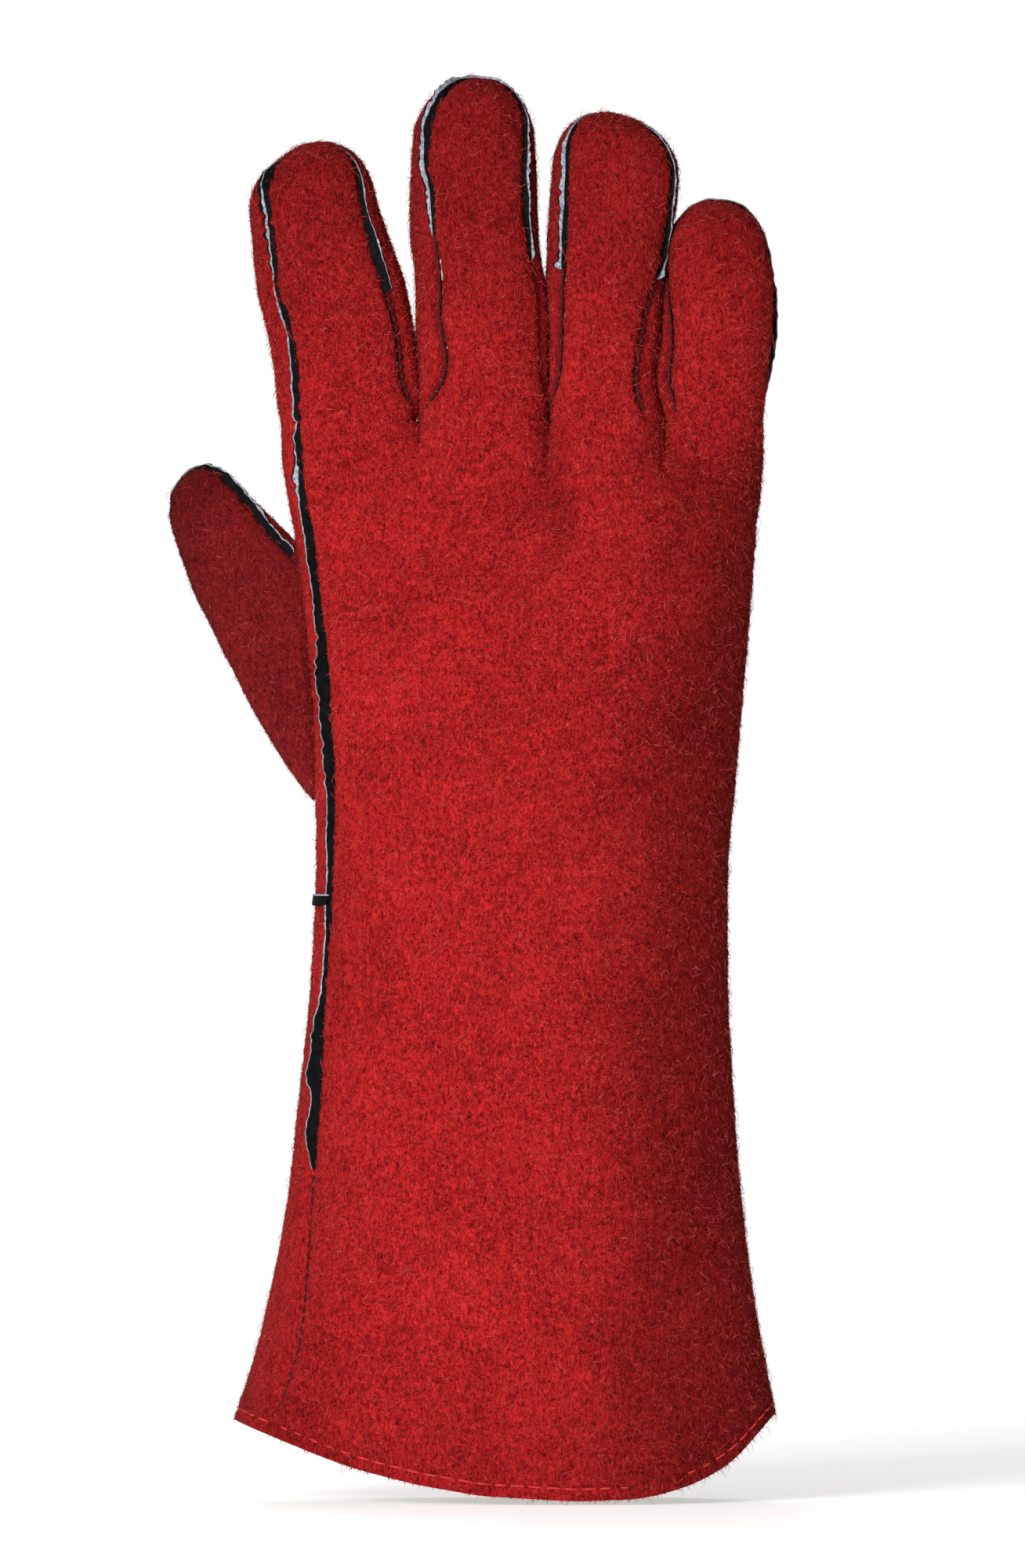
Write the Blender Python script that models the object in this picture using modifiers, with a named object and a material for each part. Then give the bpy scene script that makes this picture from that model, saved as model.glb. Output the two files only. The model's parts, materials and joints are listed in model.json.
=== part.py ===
"""Right-hand gauntlet glove for hot work: leather panels, welts, linings and threads as separate solids.

Frame: +Z runs from the cuff's mouth to the fingertips, -Y is out of the back of the hand, +Y out of the
palm, and the thumb is on the -X side. The origin is the middle of the cuff's mouth, level with the lowest
point of the hem. The palm side lies in one plane, as on a glove that was pressed flat when it was made.

Each digit is built from rungs: straight lines across it, from its thumb-side edge to its other edge. The
leather over the back of a digit, the wall strips round it and its front all follow the same rungs.
"""

import math
from bisect import bisect_right

import bpy
from mathutils import Matrix, Vector

MM = 0.001

# Heights along the glove, in millimetres.
OVERALL_LENGTH = 355.0
WRIST_Z = 150.0
KNUCKLE_Z = 268.0
HEM_RISE = 19.6
HEM_LOWEST_X = 18.0
HEM_STITCH_HEIGHT = 2.6

# Thicknesses and clearances.
PALM_Y = 30.0
LEATHER = 1.4
LINING = 2.0
WELT = 0.8
WELT_PROUD = 1.3
WELT_TUCK = 1.2
THREAD = 0.7
GAP = 0.3
SEAM_GAP = 0.5
WELT_GAP = 1.2
HINGE_GAP = 0.3
LINING_INSET = LEATHER + 0.9

# The round of the hand and cuff: a superellipse whose palm side is pressed flat.
SQUARENESS = 2.5
PALM_OVERFILL = 1.06

# Height, thumb-side edge, little-finger edge and back surface of the hand and cuff.
GAUNTLET = (
    (0.0, -69.0, 68.2, -30.0),
    (20.0, -67.0, 67.2, -29.5),
    (57.0, -57.2, 60.4, -28.0),
    (105.0, -50.6, 56.6, -25.0),
    (WRIST_Z, -47.8, 54.6, -21.0),
    (186.0, -47.4, 58.2, -15.0),
    (225.0, -51.0, 61.2, -7.0),
    (KNUCKLE_Z, -54.8, 63.6, 0.0),
)

# Height, and the angle of each long seam off the edge of the section, in degrees.
SEAMS = (
    (0.0, 34.0, 35.0),
    (57.0, 31.0, 34.0),
    (95.0, 21.0, 32.0),
    (WRIST_Z, 22.0, 28.0),
    (KNUCKLE_Z, 18.0, 14.0),
)

# The digits' heights from palm to back seam, and from there to the crown of the back.
WALL_HEIGHT = 17.0
DOME = 12.0
TIP_WALL_HEIGHT = 8.0
THUMB_WALL_HEIGHT = 12.0
THUMB_DOME = 8.0
TIP_HALF_WIDTH = 0.6
BACK_COLUMNS = 8
STRAIGHT_RUNGS = 6
TIP_ANGLES = (20, 40, 57, 72, 84)

# Each finger's height above the knuckles, thumb-side edge and far edge, up to where its tip rounds over.
# No finger's base is wider than the gap its neighbours leave, so that each can flex by itself.
FINGER_EDGES = {
    "index": ((0.0, -54.4, -22.8), (17.0, -57.8, -24.6), (32.0, -60.4, -26.9), (53.0, -62.1, -32.8)),
    "middle": ((0.0, -20.4, 10.4), (22.0, -22.2, 9.6), (47.0, -22.4, 7.3), (70.0, -21.6, 6.1)),
    "ring": ((0.0, 11.1, 39.8), (22.0, 10.9, 40.5), (47.0, 11.5, 40.4), (62.0, 12.4, 41.4)),
    "little": ((0.0, 40.4, 63.2), (15.0, 41.1, 65.0), (30.0, 41.7, 65.6), (43.0, 42.9, 64.0)),
}

# X and height above the knuckles of each fingertip. The middle finger's welt is the top of the glove.
FINGER_TIPS = {
    "index": (-48.4, 69.8),
    "middle": (-7.0, OVERALL_LENGTH - KNUCKLE_Z - WELT_PROUD),
    "ring": (27.0, 76.9),
    "little": (52.9, 55.1),
}

# Where each digit's welt starts on its first edge and ends on its other edge: 0 is the digit's base, and 1
# its tip.
WELT_ENDS = {
    "index": (0.02, 0.47),
    "middle": (0.51, 0.48),
    "ring": (0.50, 0.48),
    "little": (0.90, 0.03),
    "thumb": (0.04, 0.93),
}

# Share of the way up, upper edge x and z, lower edge x and z of the thumb, up to where its tip rounds over.
THUMB_EDGES = (
    (0.0, -53.2, 238.2, -48.4, 174.0),
    (0.3, -54.0, 238.6, -60.6, 190.8),
    (0.6, -56.4, 241.0, -73.4, 216.4),
    (0.85, -62.6, 247.2, -80.8, 232.6),
    (1.0, -66.6, 250.8, -83.2, 240.8),
)
THUMB_TIP = (-78.8, 255.8)
# The thumb's front laps onto the round of the palm's edge, as far as this from the rest of its base.
THUMB_LAP = 17.0
# The thumb's edges cross its rungs at a slant, so its lining is narrowed this much more along them.
THUMB_SKEW = 1.6
TIP_SHARE = 0.8
THUMB_HOLE_X = (-75.0, -38.0)
THUMB_HOLE_Y = (12.5, 25.0)
THUMB_HOLE_Z = (182.0, 231.0)

# Each moving part: a point on its hinge and the hinge's direction, all on the palm side, where the leather
# folds. A digit turns with the hand.
HINGES = {
    "hand": ((0.0, PALM_Y, WRIST_Z), (-1.0, 0.0, 0.0)),
    "index": ((-37.0, PALM_Y, KNUCKLE_Z), (-1.0, 0.0, 0.0)),
    "middle": ((-4.5, PALM_Y, KNUCKLE_Z), (-1.0, 0.0, 0.0)),
    "ring": ((25.5, PALM_Y, KNUCKLE_Z), (-1.0, 0.0, 0.0)),
    "little": ((52.0, PALM_Y, KNUCKLE_Z), (-1.0, 0.0, 0.0)),
    "thumb": ((-33.5, PALM_Y, 206.0), (4.8, 0.0, -64.2)),
}

# Name, colour and roughness of each material.
RED_SUEDE = ("red_split_leather", (0.34, 0.011, 0.013, 1.0), 0.95)
BLACK_VINYL = ("black_vinyl", (0.012, 0.012, 0.013, 1.0), 0.55)
CREAM_FLEECE = ("cream_fleece", (0.70, 0.64, 0.52, 1.0), 1.0)
CANVAS = ("unbleached_canvas", (0.62, 0.57, 0.46, 1.0), 0.95)
RED_THREAD = ("red_thread", (0.42, 0.02, 0.02, 1.0), 0.7)


def interpolate(rows, key):
    """The values at key on a smooth cubic through rows of (key, value, value ...)."""
    keys = [row[0] for row in rows]
    i = max(0, min(len(rows) - 2, bisect_right(keys, key) - 1))

    def slope(j, column):
        low, high = max(0, j - 1), min(len(rows) - 1, j + 1)
        return (rows[high][column] - rows[low][column]) / (keys[high] - keys[low])

    span = keys[i + 1] - keys[i]
    t = (key - keys[i]) / span
    values = []
    for column in range(1, len(rows[0])):
        a, b = rows[i][column], rows[i + 1][column]
        start, end = slope(i, column) * span, slope(i + 1, column) * span
        values.append(
            (2 * t**3 - 3 * t**2 + 1) * a + (t**3 - 2 * t**2 + t) * start
            + (3 * t**2 - 2 * t**3) * b + (t**3 - t**2) * end
        )
    return values


def spread(low, high, count):
    """count evenly spaced values from low to high."""
    return [low + (high - low) * i / (count - 1) for i in range(count)]


def material_of(finish):
    name, colour, roughness = finish
    material = bpy.data.materials.get(name) or bpy.data.materials.new(name)
    material.use_nodes = True
    shader = material.node_tree.nodes["Principled BSDF"]
    shader.inputs["Base Color"].default_value = colour
    shader.inputs["Roughness"].default_value = roughness
    shader.inputs["Metallic"].default_value = 0.0
    return material


def make_hinge(name):
    """An empty on a moving part's hinge, with its X along it."""
    point, direction = HINGES[name]
    turn = Vector((1, 0, 0)).rotation_difference(Vector(direction)).to_matrix().to_4x4()
    empty = bpy.data.objects.new(f"{name}_hinge", None)
    empty.matrix_world = Matrix.Translation(Vector(point) * MM) @ turn
    GLOVE.objects.link(empty)
    return empty


def hang(pieces, hinge):
    """Parent pieces to a hinge where they are."""
    bpy.context.view_layer.update()
    for piece in pieces:
        piece.parent = hinge
        piece.matrix_parent_inverse = hinge.matrix_world.inverted()


def skin(name, rows, thickness, inside, finish, ring=False, capped=False):
    """One solid whose outer face is the grid through rows, thickened towards the point inside.

    ring joins each row's ends, and capped closes the last row, as on the tip of a lining.
    """
    columns = len(rows[0])
    faces = []
    for r in range(len(rows) - 1):
        for c in range(columns if ring else columns - 1):
            near, far = r * columns, (r + 1) * columns
            after = (c + 1) % columns
            faces.append((near + c, near + after, far + after, far + c))
    if capped:
        faces.append(tuple(range((len(rows) - 1) * columns, len(rows) * columns)))
    mesh = bpy.data.meshes.new(name)
    mesh.from_pydata([point * MM for row in rows for point in row], [], faces)
    middle = mesh.polygons[len(rows) // 2 * (columns if ring else columns - 1) - columns // 2]
    if (middle.center - inside * MM).dot(middle.normal) < 0:
        mesh.flip_normals()
    mesh.materials.append(material_of(finish))
    mesh.shade_smooth()
    mesh.set_sharp_from_angle(angle=math.radians(40))
    obj = bpy.data.objects.new(name, mesh)
    GLOVE.objects.link(obj)
    solidify = obj.modifiers.new("thickness", "SOLIDIFY")
    solidify.thickness = thickness * MM
    solidify.offset = -1.0
    return obj


# The hand and cuff.


def section_point(z, degrees, inset=0.0):
    """Outer surface of the hand or cuff at height z: 0 degrees is the little-finger edge, 90 the back."""
    left, right, back = interpolate(GAUNTLET, z)
    half_depth = (PALM_Y - back) / 2 * PALM_OVERFILL
    c, s = math.cos(math.radians(degrees)), math.sin(math.radians(degrees))
    power = 2 / SQUARENESS
    x = (left + right) / 2 + ((right - left) / 2 - inset) * math.copysign(abs(c) ** power, c)
    y = back + half_depth - (half_depth - inset) * math.copysign(abs(s) ** power, s)
    return Vector((x, min(y, PALM_Y - inset), z))


def degrees_for(z, degrees, distance):
    """The turn, in degrees, that moves a point this distance along the section from an angle."""
    step = 0.5
    moved = (section_point(z, degrees + step) - section_point(z, degrees - step)).length
    return distance * 2 * step / moved


def seam_angles(z):
    """The angles of the thumb-side seam and the little-finger seam at height z."""
    thumb_side, little_side = interpolate(SEAMS, z)
    return 180.0 - thumb_side, -little_side


def hem_height(x):
    """How far the curved hem is above its lowest point, at x."""
    reach, power = (85.0, 2.1) if x < HEM_LOWEST_X else (48.5, 3.0)
    return HEM_RISE * (abs(x - HEM_LOWEST_X) / reach) ** power


def gauntlet_rows(low, high, count, arc, columns, inset=0.0, hem=None):
    """Rows of points on the hand or cuff from low to high; arc(z) gives the two end angles at a height.

    With hem, the rows start this far above the curved hem.
    """
    rows = []
    for share in spread(0.0, 1.0, count):
        row = []
        for across in spread(0.0, 1.0, columns):
            z = low + (high - low) * share
            if hem is not None:
                foot = section_point(low, arc_angle(arc, low, across))
                z = high + (low + hem + hem_height(foot.x) - high) * (1 - share)
            row.append(section_point(z, arc_angle(arc, z, across), inset))
        rows.append(row)
    return rows


def arc_angle(arc, z, across):
    """The angle at a share of the way across an arc."""
    start, end = arc(z)
    return start + (end - start) * across


def back_arc(z):
    thumb_side, little_side = seam_angles(z)
    return (
        thumb_side - degrees_for(z, thumb_side, WELT / 2 + WELT_GAP),
        little_side + degrees_for(z, little_side, SEAM_GAP),
    )


def palm_arc(z):
    thumb_side, little_side = seam_angles(z)
    return (
        little_side - degrees_for(z, little_side, SEAM_GAP),
        thumb_side + degrees_for(z, thumb_side, WELT / 2 + WELT_GAP) - 360.0,
    )


def side_welt_arc(z):
    thumb_side = seam_angles(z)[0]
    half = degrees_for(z, thumb_side, WELT / 2)
    return thumb_side + half, thumb_side - half


def whole_ring(columns):
    """All the way round, without repeating the first point."""
    return lambda z: (0.0, 360.0 * (columns - 1) / columns)


def make_cuff():
    """The gauntlet below the wrist seam."""
    inside = Vector((0.0, 2.0, WRIST_Z / 2))
    top = WRIST_Z - HINGE_GAP
    under_welt = top - WELT - GAP
    back = gauntlet_rows(0.0, top, 8, back_arc, 15, hem=0.0)
    skin("cuff_back", back, LEATHER, inside, RED_SUEDE)
    front = gauntlet_rows(0.0, under_welt, 8, palm_arc, 13, hem=0.0)
    skin("cuff_front", front, LEATHER, inside, RED_SUEDE)
    welt = gauntlet_rows(30.0, top, 8, side_welt_arc, 2, inset=-WELT_PROUD)
    skin("cuff_side_welt", welt, LEATHER + WELT_PROUD, inside, BLACK_VINYL)
    wrist = gauntlet_rows(top - WELT, top, 2, palm_arc, 13, inset=-WELT_PROUD)
    skin("wrist_welt", wrist, LEATHER + WELT_PROUD, inside, BLACK_VINYL)
    lining = gauntlet_rows(0.0, top, 7, whole_ring(28), 28, inset=LINING_INSET, hem=0.0)
    skin("cuff_lining", lining, LINING, inside, CANVAS, ring=True)


def make_hem_thread():
    """The row of stitches round the hem, as one closed thread lying on the leather."""
    count = 48
    curve = bpy.data.curves.new("hem_thread", "CURVE")
    curve.dimensions = "3D"
    curve.bevel_depth = THREAD / 2 * MM
    curve.bevel_resolution = 2
    curve.resolution_u = 1
    curve.render_resolution_u = 1
    spline = curve.splines.new("POLY")
    spline.points.add(count - 1)
    spline.use_cyclic_u = True
    ring = gauntlet_rows(
        0.0, WRIST_Z, 2, whole_ring(count), count,
        inset=-THREAD / 2 - GAP, hem=HEM_STITCH_HEIGHT,
    )[0]
    for place, point in zip(spline.points, ring):
        place.co = (*(point * MM), 1.0)
    curve.materials.append(material_of(RED_THREAD))
    GLOVE.objects.link(bpy.data.objects.new("hem_thread", curve))


def cut_thumb_hole(*panels):
    """The opening in the thumb side of the hand that the thumb's stall leads into."""
    sides = (THUMB_HOLE_X, THUMB_HOLE_Y, THUMB_HOLE_Z)
    bpy.ops.mesh.primitive_cube_add(
        size=1.0,
        location=[sum(side) / 2 * MM for side in sides],
        scale=[(side[1] - side[0]) * MM for side in sides],
    )
    cutter = bpy.context.object
    cutter.name = "thumb_hole_cutter"
    cutter.hide_render = True
    cutter.display_type = "WIRE"
    for collection in list(cutter.users_collection):
        collection.objects.unlink(cutter)
    CUTTERS.objects.link(cutter)
    for panel in panels:
        cut = panel.modifiers.new("thumb_hole", "BOOLEAN")
        cut.operation = "DIFFERENCE"
        cut.object = cutter


def make_hand():
    """The hand between the wrist seam and the knuckle line."""
    inside = Vector((5.0, 10.0, (WRIST_Z + KNUCKLE_Z) / 2))
    span = (WRIST_Z + HINGE_GAP, KNUCKLE_Z - HINGE_GAP, 7)
    back = gauntlet_rows(*span, back_arc, 15)
    front = gauntlet_rows(*span, palm_arc, 15)
    welt = gauntlet_rows(*span, side_welt_arc, 2, inset=-WELT_PROUD)
    ring = gauntlet_rows(*span, whole_ring(28), 28, inset=LINING_INSET)
    palm = skin("palm", front, LEATHER, inside, RED_SUEDE)
    lining = skin("hand_lining", ring, LINING, inside, CREAM_FLEECE, ring=True)
    cut_thumb_hole(palm, lining)
    return [
        palm,
        lining,
        skin("hand_back", back, LEATHER, inside, RED_SUEDE),
        skin("hand_side_welt", welt, LEATHER + WELT_PROUD, inside, BLACK_VINYL),
    ]


# The digits.


def digit_rungs(edges, tip, inset):
    """Rungs of a digit: (first end, second end, share of its full section, share of its length).

    edges holds (share, x, z, x, z) rows up to where the tip rounds over, and tip is where it closes.
    """
    rungs = []
    for share in spread(0.0, 1.0, STRAIGHT_RUNGS):
        x0, z0, x1, z1 = interpolate(edges, share)
        first, second = Vector((x0, 0, z0)), Vector((x1, 0, z1))
        narrowing = (second - first).normalized() * inset
        rungs.append((first + narrowing, second - narrowing, 1.0, share * TIP_SHARE))
    first, second = rungs[-1][:2]
    middle, half = (first + second) / 2, (second - first) / 2
    reach = tip - middle
    reach *= 1 - inset / reach.length
    for degrees in TIP_ANGLES:
        along, across = math.sin(math.radians(degrees)), math.cos(math.radians(degrees))
        centre = middle + reach * along
        side = half * max(TIP_HALF_WIDTH / half.length, across)
        rungs.append((centre - side, centre + side, across, TIP_SHARE + (1 - TIP_SHARE) * along))
    return rungs


def depths(across, wall_height, dome):
    """Y of the back leather's edge and of its crown, where a digit has this share of its full section."""
    edge = PALM_Y - (TIP_WALL_HEIGHT + (wall_height - TIP_WALL_HEIGHT) * across)
    return edge, edge - dome * across


def dome_y(u, edge, crown):
    """Y of the back leather at u across a rung, from -1 to 1."""
    return crown + (edge - crown) * abs(u) ** 2.6


def across_rung(rung, u):
    """The point at u across a rung, from -1 at its first end to 1 at its second."""
    return rung[0].lerp(rung[1], (u + 1) / 2)


def at_y(point, y):
    return Vector((point.x, y, point.z))


def outward(path, axis_point):
    """For each point of a path in the XZ plane, the unit normal that leads away from axis_point."""
    normals = []
    for i, point in enumerate(path):
        along = path[min(i + 1, len(path) - 1)] - path[max(i - 1, 0)]
        normal = Vector((along.z, 0, -along.x)).normalized()
        normals.append(normal if normal.dot(point - axis_point) > 0 else -normal)
    return normals


def make_walls(name, rungs, wall_height, dome, sides):
    """The leather strips round a digit between its back and its front, one on each side of the tip."""
    inside = at_y((rungs[0][0] + rungs[-1][1]) / 2, PALM_Y / 2)
    walls = []
    for end, side in enumerate(sides):
        rows = []
        for rung in rungs:
            high = depths(rung[2], wall_height, dome)[0] + LEATHER + WELT + 3 * GAP
            low = PALM_Y - LEATHER - GAP
            rows.append([at_y(rung[end], high), at_y(rung[end], low)])
        walls.append(skin(f"{name}_{side}_wall", rows, LEATHER, inside, RED_SUEDE))
    return walls


def make_welt(name, rungs, wall_height, dome):
    """The vinyl strip sewn into the seam round a digit's tip, from one side to the other."""
    start, end = WELT_ENDS[name]
    path = [(rung, rung[0]) for rung in rungs if rung[3] >= start]
    path += [(rung, rung[1]) for rung in reversed(rungs) if rung[3] >= end]
    middle = (rungs[0][0] + rungs[-1][1]) / 2
    normals = outward([point for _, point in path], middle)
    rows = []
    for (rung, point), normal in zip(path, normals):
        y = depths(rung[2], wall_height, dome)[0] + LEATHER + GAP
        tuck = min(WELT_TUCK, (rung[1] - rung[0]).length * 0.4)
        rows.append([at_y(point + normal * WELT_PROUD, y), at_y(point - normal * tuck, y)])
    behind = at_y(middle, PALM_Y * 10)
    return skin(f"{name}_welt", rows, WELT, behind, BLACK_VINYL)


def make_lining(name, rungs, wall_height, dome):
    """The fleece stall inside a digit: closed at the tip and open towards the hand."""
    rows = []
    for rung in rungs:
        edge, crown = depths(rung[2], wall_height, dome)
        back = [
            at_y(across_rung(rung, u), dome_y(u, edge, crown) + LINING_INSET)
            for u in spread(-1.0, 1.0, BACK_COLUMNS - 1)
        ]
        front = [at_y(across_rung(rung, u), PALM_Y - LINING_INSET) for u in spread(1.0, -1.0, 4)]
        rows.append(back + front)
    inside = at_y((rungs[0][0] + rungs[-1][1]) / 2, PALM_Y * 0.6)
    return skin(f"{name}_lining", rows, LINING, inside, CREAM_FLEECE, ring=True, capped=True)


def make_digit(name, edges, tip, skew, lap, wall_height, dome, sides):
    """One digit's stall: back and front leathers, side walls, welt and lining.

    lap moves the base of the front towards the little finger.
    """
    rungs = digit_rungs(edges, tip, 0.0)
    back, front = [], []
    for rung in rungs:
        edge, crown = depths(rung[2], wall_height, dome)
        back.append([
            at_y(across_rung(rung, u), dome_y(u, edge, crown))
            for u in spread(-1.0, 1.0, BACK_COLUMNS + 1)
        ])
        front.append([at_y(across_rung(rung, u), PALM_Y) for u in spread(-1.0, 1.0, 4)])
    for point in front[0]:
        point.x += lap
    inside = at_y((rungs[0][0] + rungs[-1][1]) / 2, PALM_Y * 0.6)
    lining_rungs = digit_rungs(edges, tip, LINING_INSET * skew)[:-1]
    return [
        skin(f"{name}_back", back, LEATHER, inside, RED_SUEDE),
        skin(f"{name}_front", front, LEATHER, inside, RED_SUEDE),
        *make_walls(name, rungs, wall_height, dome, sides),
        make_welt(name, rungs, wall_height, dome),
        make_lining(name, lining_rungs, wall_height, dome),
    ]


def make_finger(name):
    base = KNUCKLE_Z + HINGE_GAP
    rows = FINGER_EDGES[name]
    straight = rows[-1][0]
    edges = [
        (height / straight, left, base + height, right, base + height)
        for height, left, right in rows
    ]
    x, height = FINGER_TIPS[name]
    tip = Vector((x, 0, base + height))
    return make_digit(name, edges, tip, 1.0, 0.0, WALL_HEIGHT, DOME, ("thumb_side", "far_side"))


def make_thumb():
    tip = Vector((THUMB_TIP[0], 0, THUMB_TIP[1]))
    size = (THUMB_SKEW, THUMB_LAP, THUMB_WALL_HEIGHT, THUMB_DOME)
    return make_digit("thumb", THUMB_EDGES, tip, *size, ("upper", "lower"))


for old in list(bpy.data.objects):
    bpy.data.objects.remove(old)
GLOVE = bpy.data.collections.new("gauntlet_glove")
CUTTERS = bpy.data.collections.new("cutters")
for made in (GLOVE, CUTTERS):
    bpy.context.scene.collection.children.link(made)

make_cuff()
make_hem_thread()
hand_hinge = make_hinge("hand")
hang(make_hand(), hand_hinge)
for digit in ("index", "middle", "ring", "little", "thumb"):
    digit_hinge = make_hinge(digit)
    hang(make_thumb() if digit == "thumb" else make_finger(digit), digit_hinge)
    hang([digit_hinge], hand_hinge)
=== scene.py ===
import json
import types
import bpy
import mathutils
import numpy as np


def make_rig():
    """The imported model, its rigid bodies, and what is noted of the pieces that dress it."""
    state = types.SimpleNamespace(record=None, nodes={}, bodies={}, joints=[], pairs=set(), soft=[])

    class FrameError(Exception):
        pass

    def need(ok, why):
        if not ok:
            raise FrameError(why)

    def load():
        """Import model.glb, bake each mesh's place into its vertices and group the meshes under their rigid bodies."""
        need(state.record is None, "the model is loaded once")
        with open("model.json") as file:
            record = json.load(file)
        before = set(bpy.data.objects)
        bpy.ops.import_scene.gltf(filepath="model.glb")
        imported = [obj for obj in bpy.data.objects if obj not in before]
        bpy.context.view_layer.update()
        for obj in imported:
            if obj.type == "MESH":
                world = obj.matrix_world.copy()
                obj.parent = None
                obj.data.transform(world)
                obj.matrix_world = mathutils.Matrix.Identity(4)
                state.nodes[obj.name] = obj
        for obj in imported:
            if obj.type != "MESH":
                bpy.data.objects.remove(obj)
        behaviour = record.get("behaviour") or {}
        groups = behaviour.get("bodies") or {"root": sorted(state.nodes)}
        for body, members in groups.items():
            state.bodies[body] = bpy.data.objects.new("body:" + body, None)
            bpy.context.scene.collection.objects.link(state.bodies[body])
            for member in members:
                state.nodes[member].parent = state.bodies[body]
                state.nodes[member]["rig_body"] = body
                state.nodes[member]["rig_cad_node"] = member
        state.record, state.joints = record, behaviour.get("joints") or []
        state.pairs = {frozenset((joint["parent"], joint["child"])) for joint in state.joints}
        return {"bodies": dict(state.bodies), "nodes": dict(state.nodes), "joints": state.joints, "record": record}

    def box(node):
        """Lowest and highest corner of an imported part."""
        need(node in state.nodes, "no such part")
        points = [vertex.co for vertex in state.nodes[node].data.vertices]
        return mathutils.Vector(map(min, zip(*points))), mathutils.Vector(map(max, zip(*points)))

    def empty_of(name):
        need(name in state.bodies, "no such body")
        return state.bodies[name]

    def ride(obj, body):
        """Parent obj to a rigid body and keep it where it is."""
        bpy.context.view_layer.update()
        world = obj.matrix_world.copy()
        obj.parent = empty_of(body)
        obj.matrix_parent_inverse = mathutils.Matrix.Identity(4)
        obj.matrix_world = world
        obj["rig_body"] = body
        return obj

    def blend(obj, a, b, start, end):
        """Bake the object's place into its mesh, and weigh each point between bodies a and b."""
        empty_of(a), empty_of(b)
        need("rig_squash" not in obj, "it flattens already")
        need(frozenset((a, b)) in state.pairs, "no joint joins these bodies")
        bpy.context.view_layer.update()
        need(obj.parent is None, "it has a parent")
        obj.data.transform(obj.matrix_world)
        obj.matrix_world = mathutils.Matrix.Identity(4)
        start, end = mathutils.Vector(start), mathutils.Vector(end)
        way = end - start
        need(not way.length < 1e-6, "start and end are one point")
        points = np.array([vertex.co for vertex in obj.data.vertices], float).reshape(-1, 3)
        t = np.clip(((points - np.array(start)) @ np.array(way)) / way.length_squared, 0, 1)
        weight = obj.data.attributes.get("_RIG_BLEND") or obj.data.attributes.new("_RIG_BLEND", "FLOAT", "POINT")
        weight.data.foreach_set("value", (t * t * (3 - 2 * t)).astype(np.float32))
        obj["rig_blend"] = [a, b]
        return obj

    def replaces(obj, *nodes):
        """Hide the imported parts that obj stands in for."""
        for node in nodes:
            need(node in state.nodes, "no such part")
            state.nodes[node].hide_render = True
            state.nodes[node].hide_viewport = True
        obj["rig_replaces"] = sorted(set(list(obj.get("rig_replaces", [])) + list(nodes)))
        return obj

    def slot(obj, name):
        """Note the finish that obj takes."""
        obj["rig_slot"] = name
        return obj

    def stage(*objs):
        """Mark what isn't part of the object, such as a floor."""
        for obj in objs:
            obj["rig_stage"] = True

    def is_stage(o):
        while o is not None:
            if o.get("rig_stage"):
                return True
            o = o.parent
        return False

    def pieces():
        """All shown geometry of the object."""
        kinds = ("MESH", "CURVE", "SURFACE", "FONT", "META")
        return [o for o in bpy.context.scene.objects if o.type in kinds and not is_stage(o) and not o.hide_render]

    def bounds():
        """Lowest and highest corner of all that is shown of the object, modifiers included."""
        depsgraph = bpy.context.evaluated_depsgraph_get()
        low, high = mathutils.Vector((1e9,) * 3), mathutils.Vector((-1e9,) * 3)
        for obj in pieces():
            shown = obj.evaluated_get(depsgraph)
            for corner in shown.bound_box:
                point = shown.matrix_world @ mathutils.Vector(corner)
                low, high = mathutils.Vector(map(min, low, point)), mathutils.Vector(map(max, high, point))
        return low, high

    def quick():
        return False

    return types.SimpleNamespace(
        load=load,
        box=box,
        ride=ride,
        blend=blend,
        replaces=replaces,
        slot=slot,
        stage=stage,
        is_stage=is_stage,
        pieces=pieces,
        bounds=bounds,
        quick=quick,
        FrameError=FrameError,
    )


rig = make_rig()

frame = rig.load()

# Looks of the gauntlet glove: suede panels, vinyl welts with a cut cloth edge, stitches, linings and nap.
#
# Lengths are millimetres until a mesh is made. Z runs from the cuff's mouth to the fingertips, -Y is out
# of the back of the hand and the thumb is on the -X side. The hand, the cuff and every digit are tubes
# with a superellipse for a section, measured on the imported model. Round a tube, 0 degrees is its right
# edge, 90 the back, 180 the left edge and 270 the palm. Grids run up the glove by row and round it by
# column, towards smaller angles, which makes every face look outwards.

import json
import math

import bpy
import numpy as np
from mathutils import Vector

CAD_BOX = [list(corner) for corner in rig.bounds()]
MM = 0.001
UP = np.array((0.0, 0.0, 1.0))
BACKWARD = np.array((0.0, -1.0, 0.0))

# Sections: the power of the superellipse, how far the palm side is overfilled before it is flattened, how
# softly it is flattened, and the depth of the fingers' widest lines.
ROUNDNESS = 0.8
PALM_OVERFILL = 1.06
PALM_SOFTNESS = 1.6
DIGIT_MID_Y = 16.0

# Thicknesses, and how far in the lining lies.
LEATHER = 1.3
LINING = 1.2
LINING_INSET = 1.7

# Columns of the grid over a finger's back, and over a finger's share of the palm.
COLUMNS = 26
PALM_COLUMNS = 20

# How high up the cuff its rows follow the hem, and the height of the hem's corners.
HEM_REACH = 60.0
CORNER_HEIGHT = 21.0

# Share of the thumb's length that leads into the hand, how far it leads in, and the row of the thumb's
# front on which it is stitched to the palm, just above the lap.
ROOT_SHARE = 0.2
ROOT_REACH = 19.0
ROOT_STITCH_ROW = 8

# Where the hand's tube turns into four finger tubes, below the knuckles.
DOME_REACH = 46.0
COLUMN_REACH = 34.0

FINGERS = ("index", "middle", "ring", "little")


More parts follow.
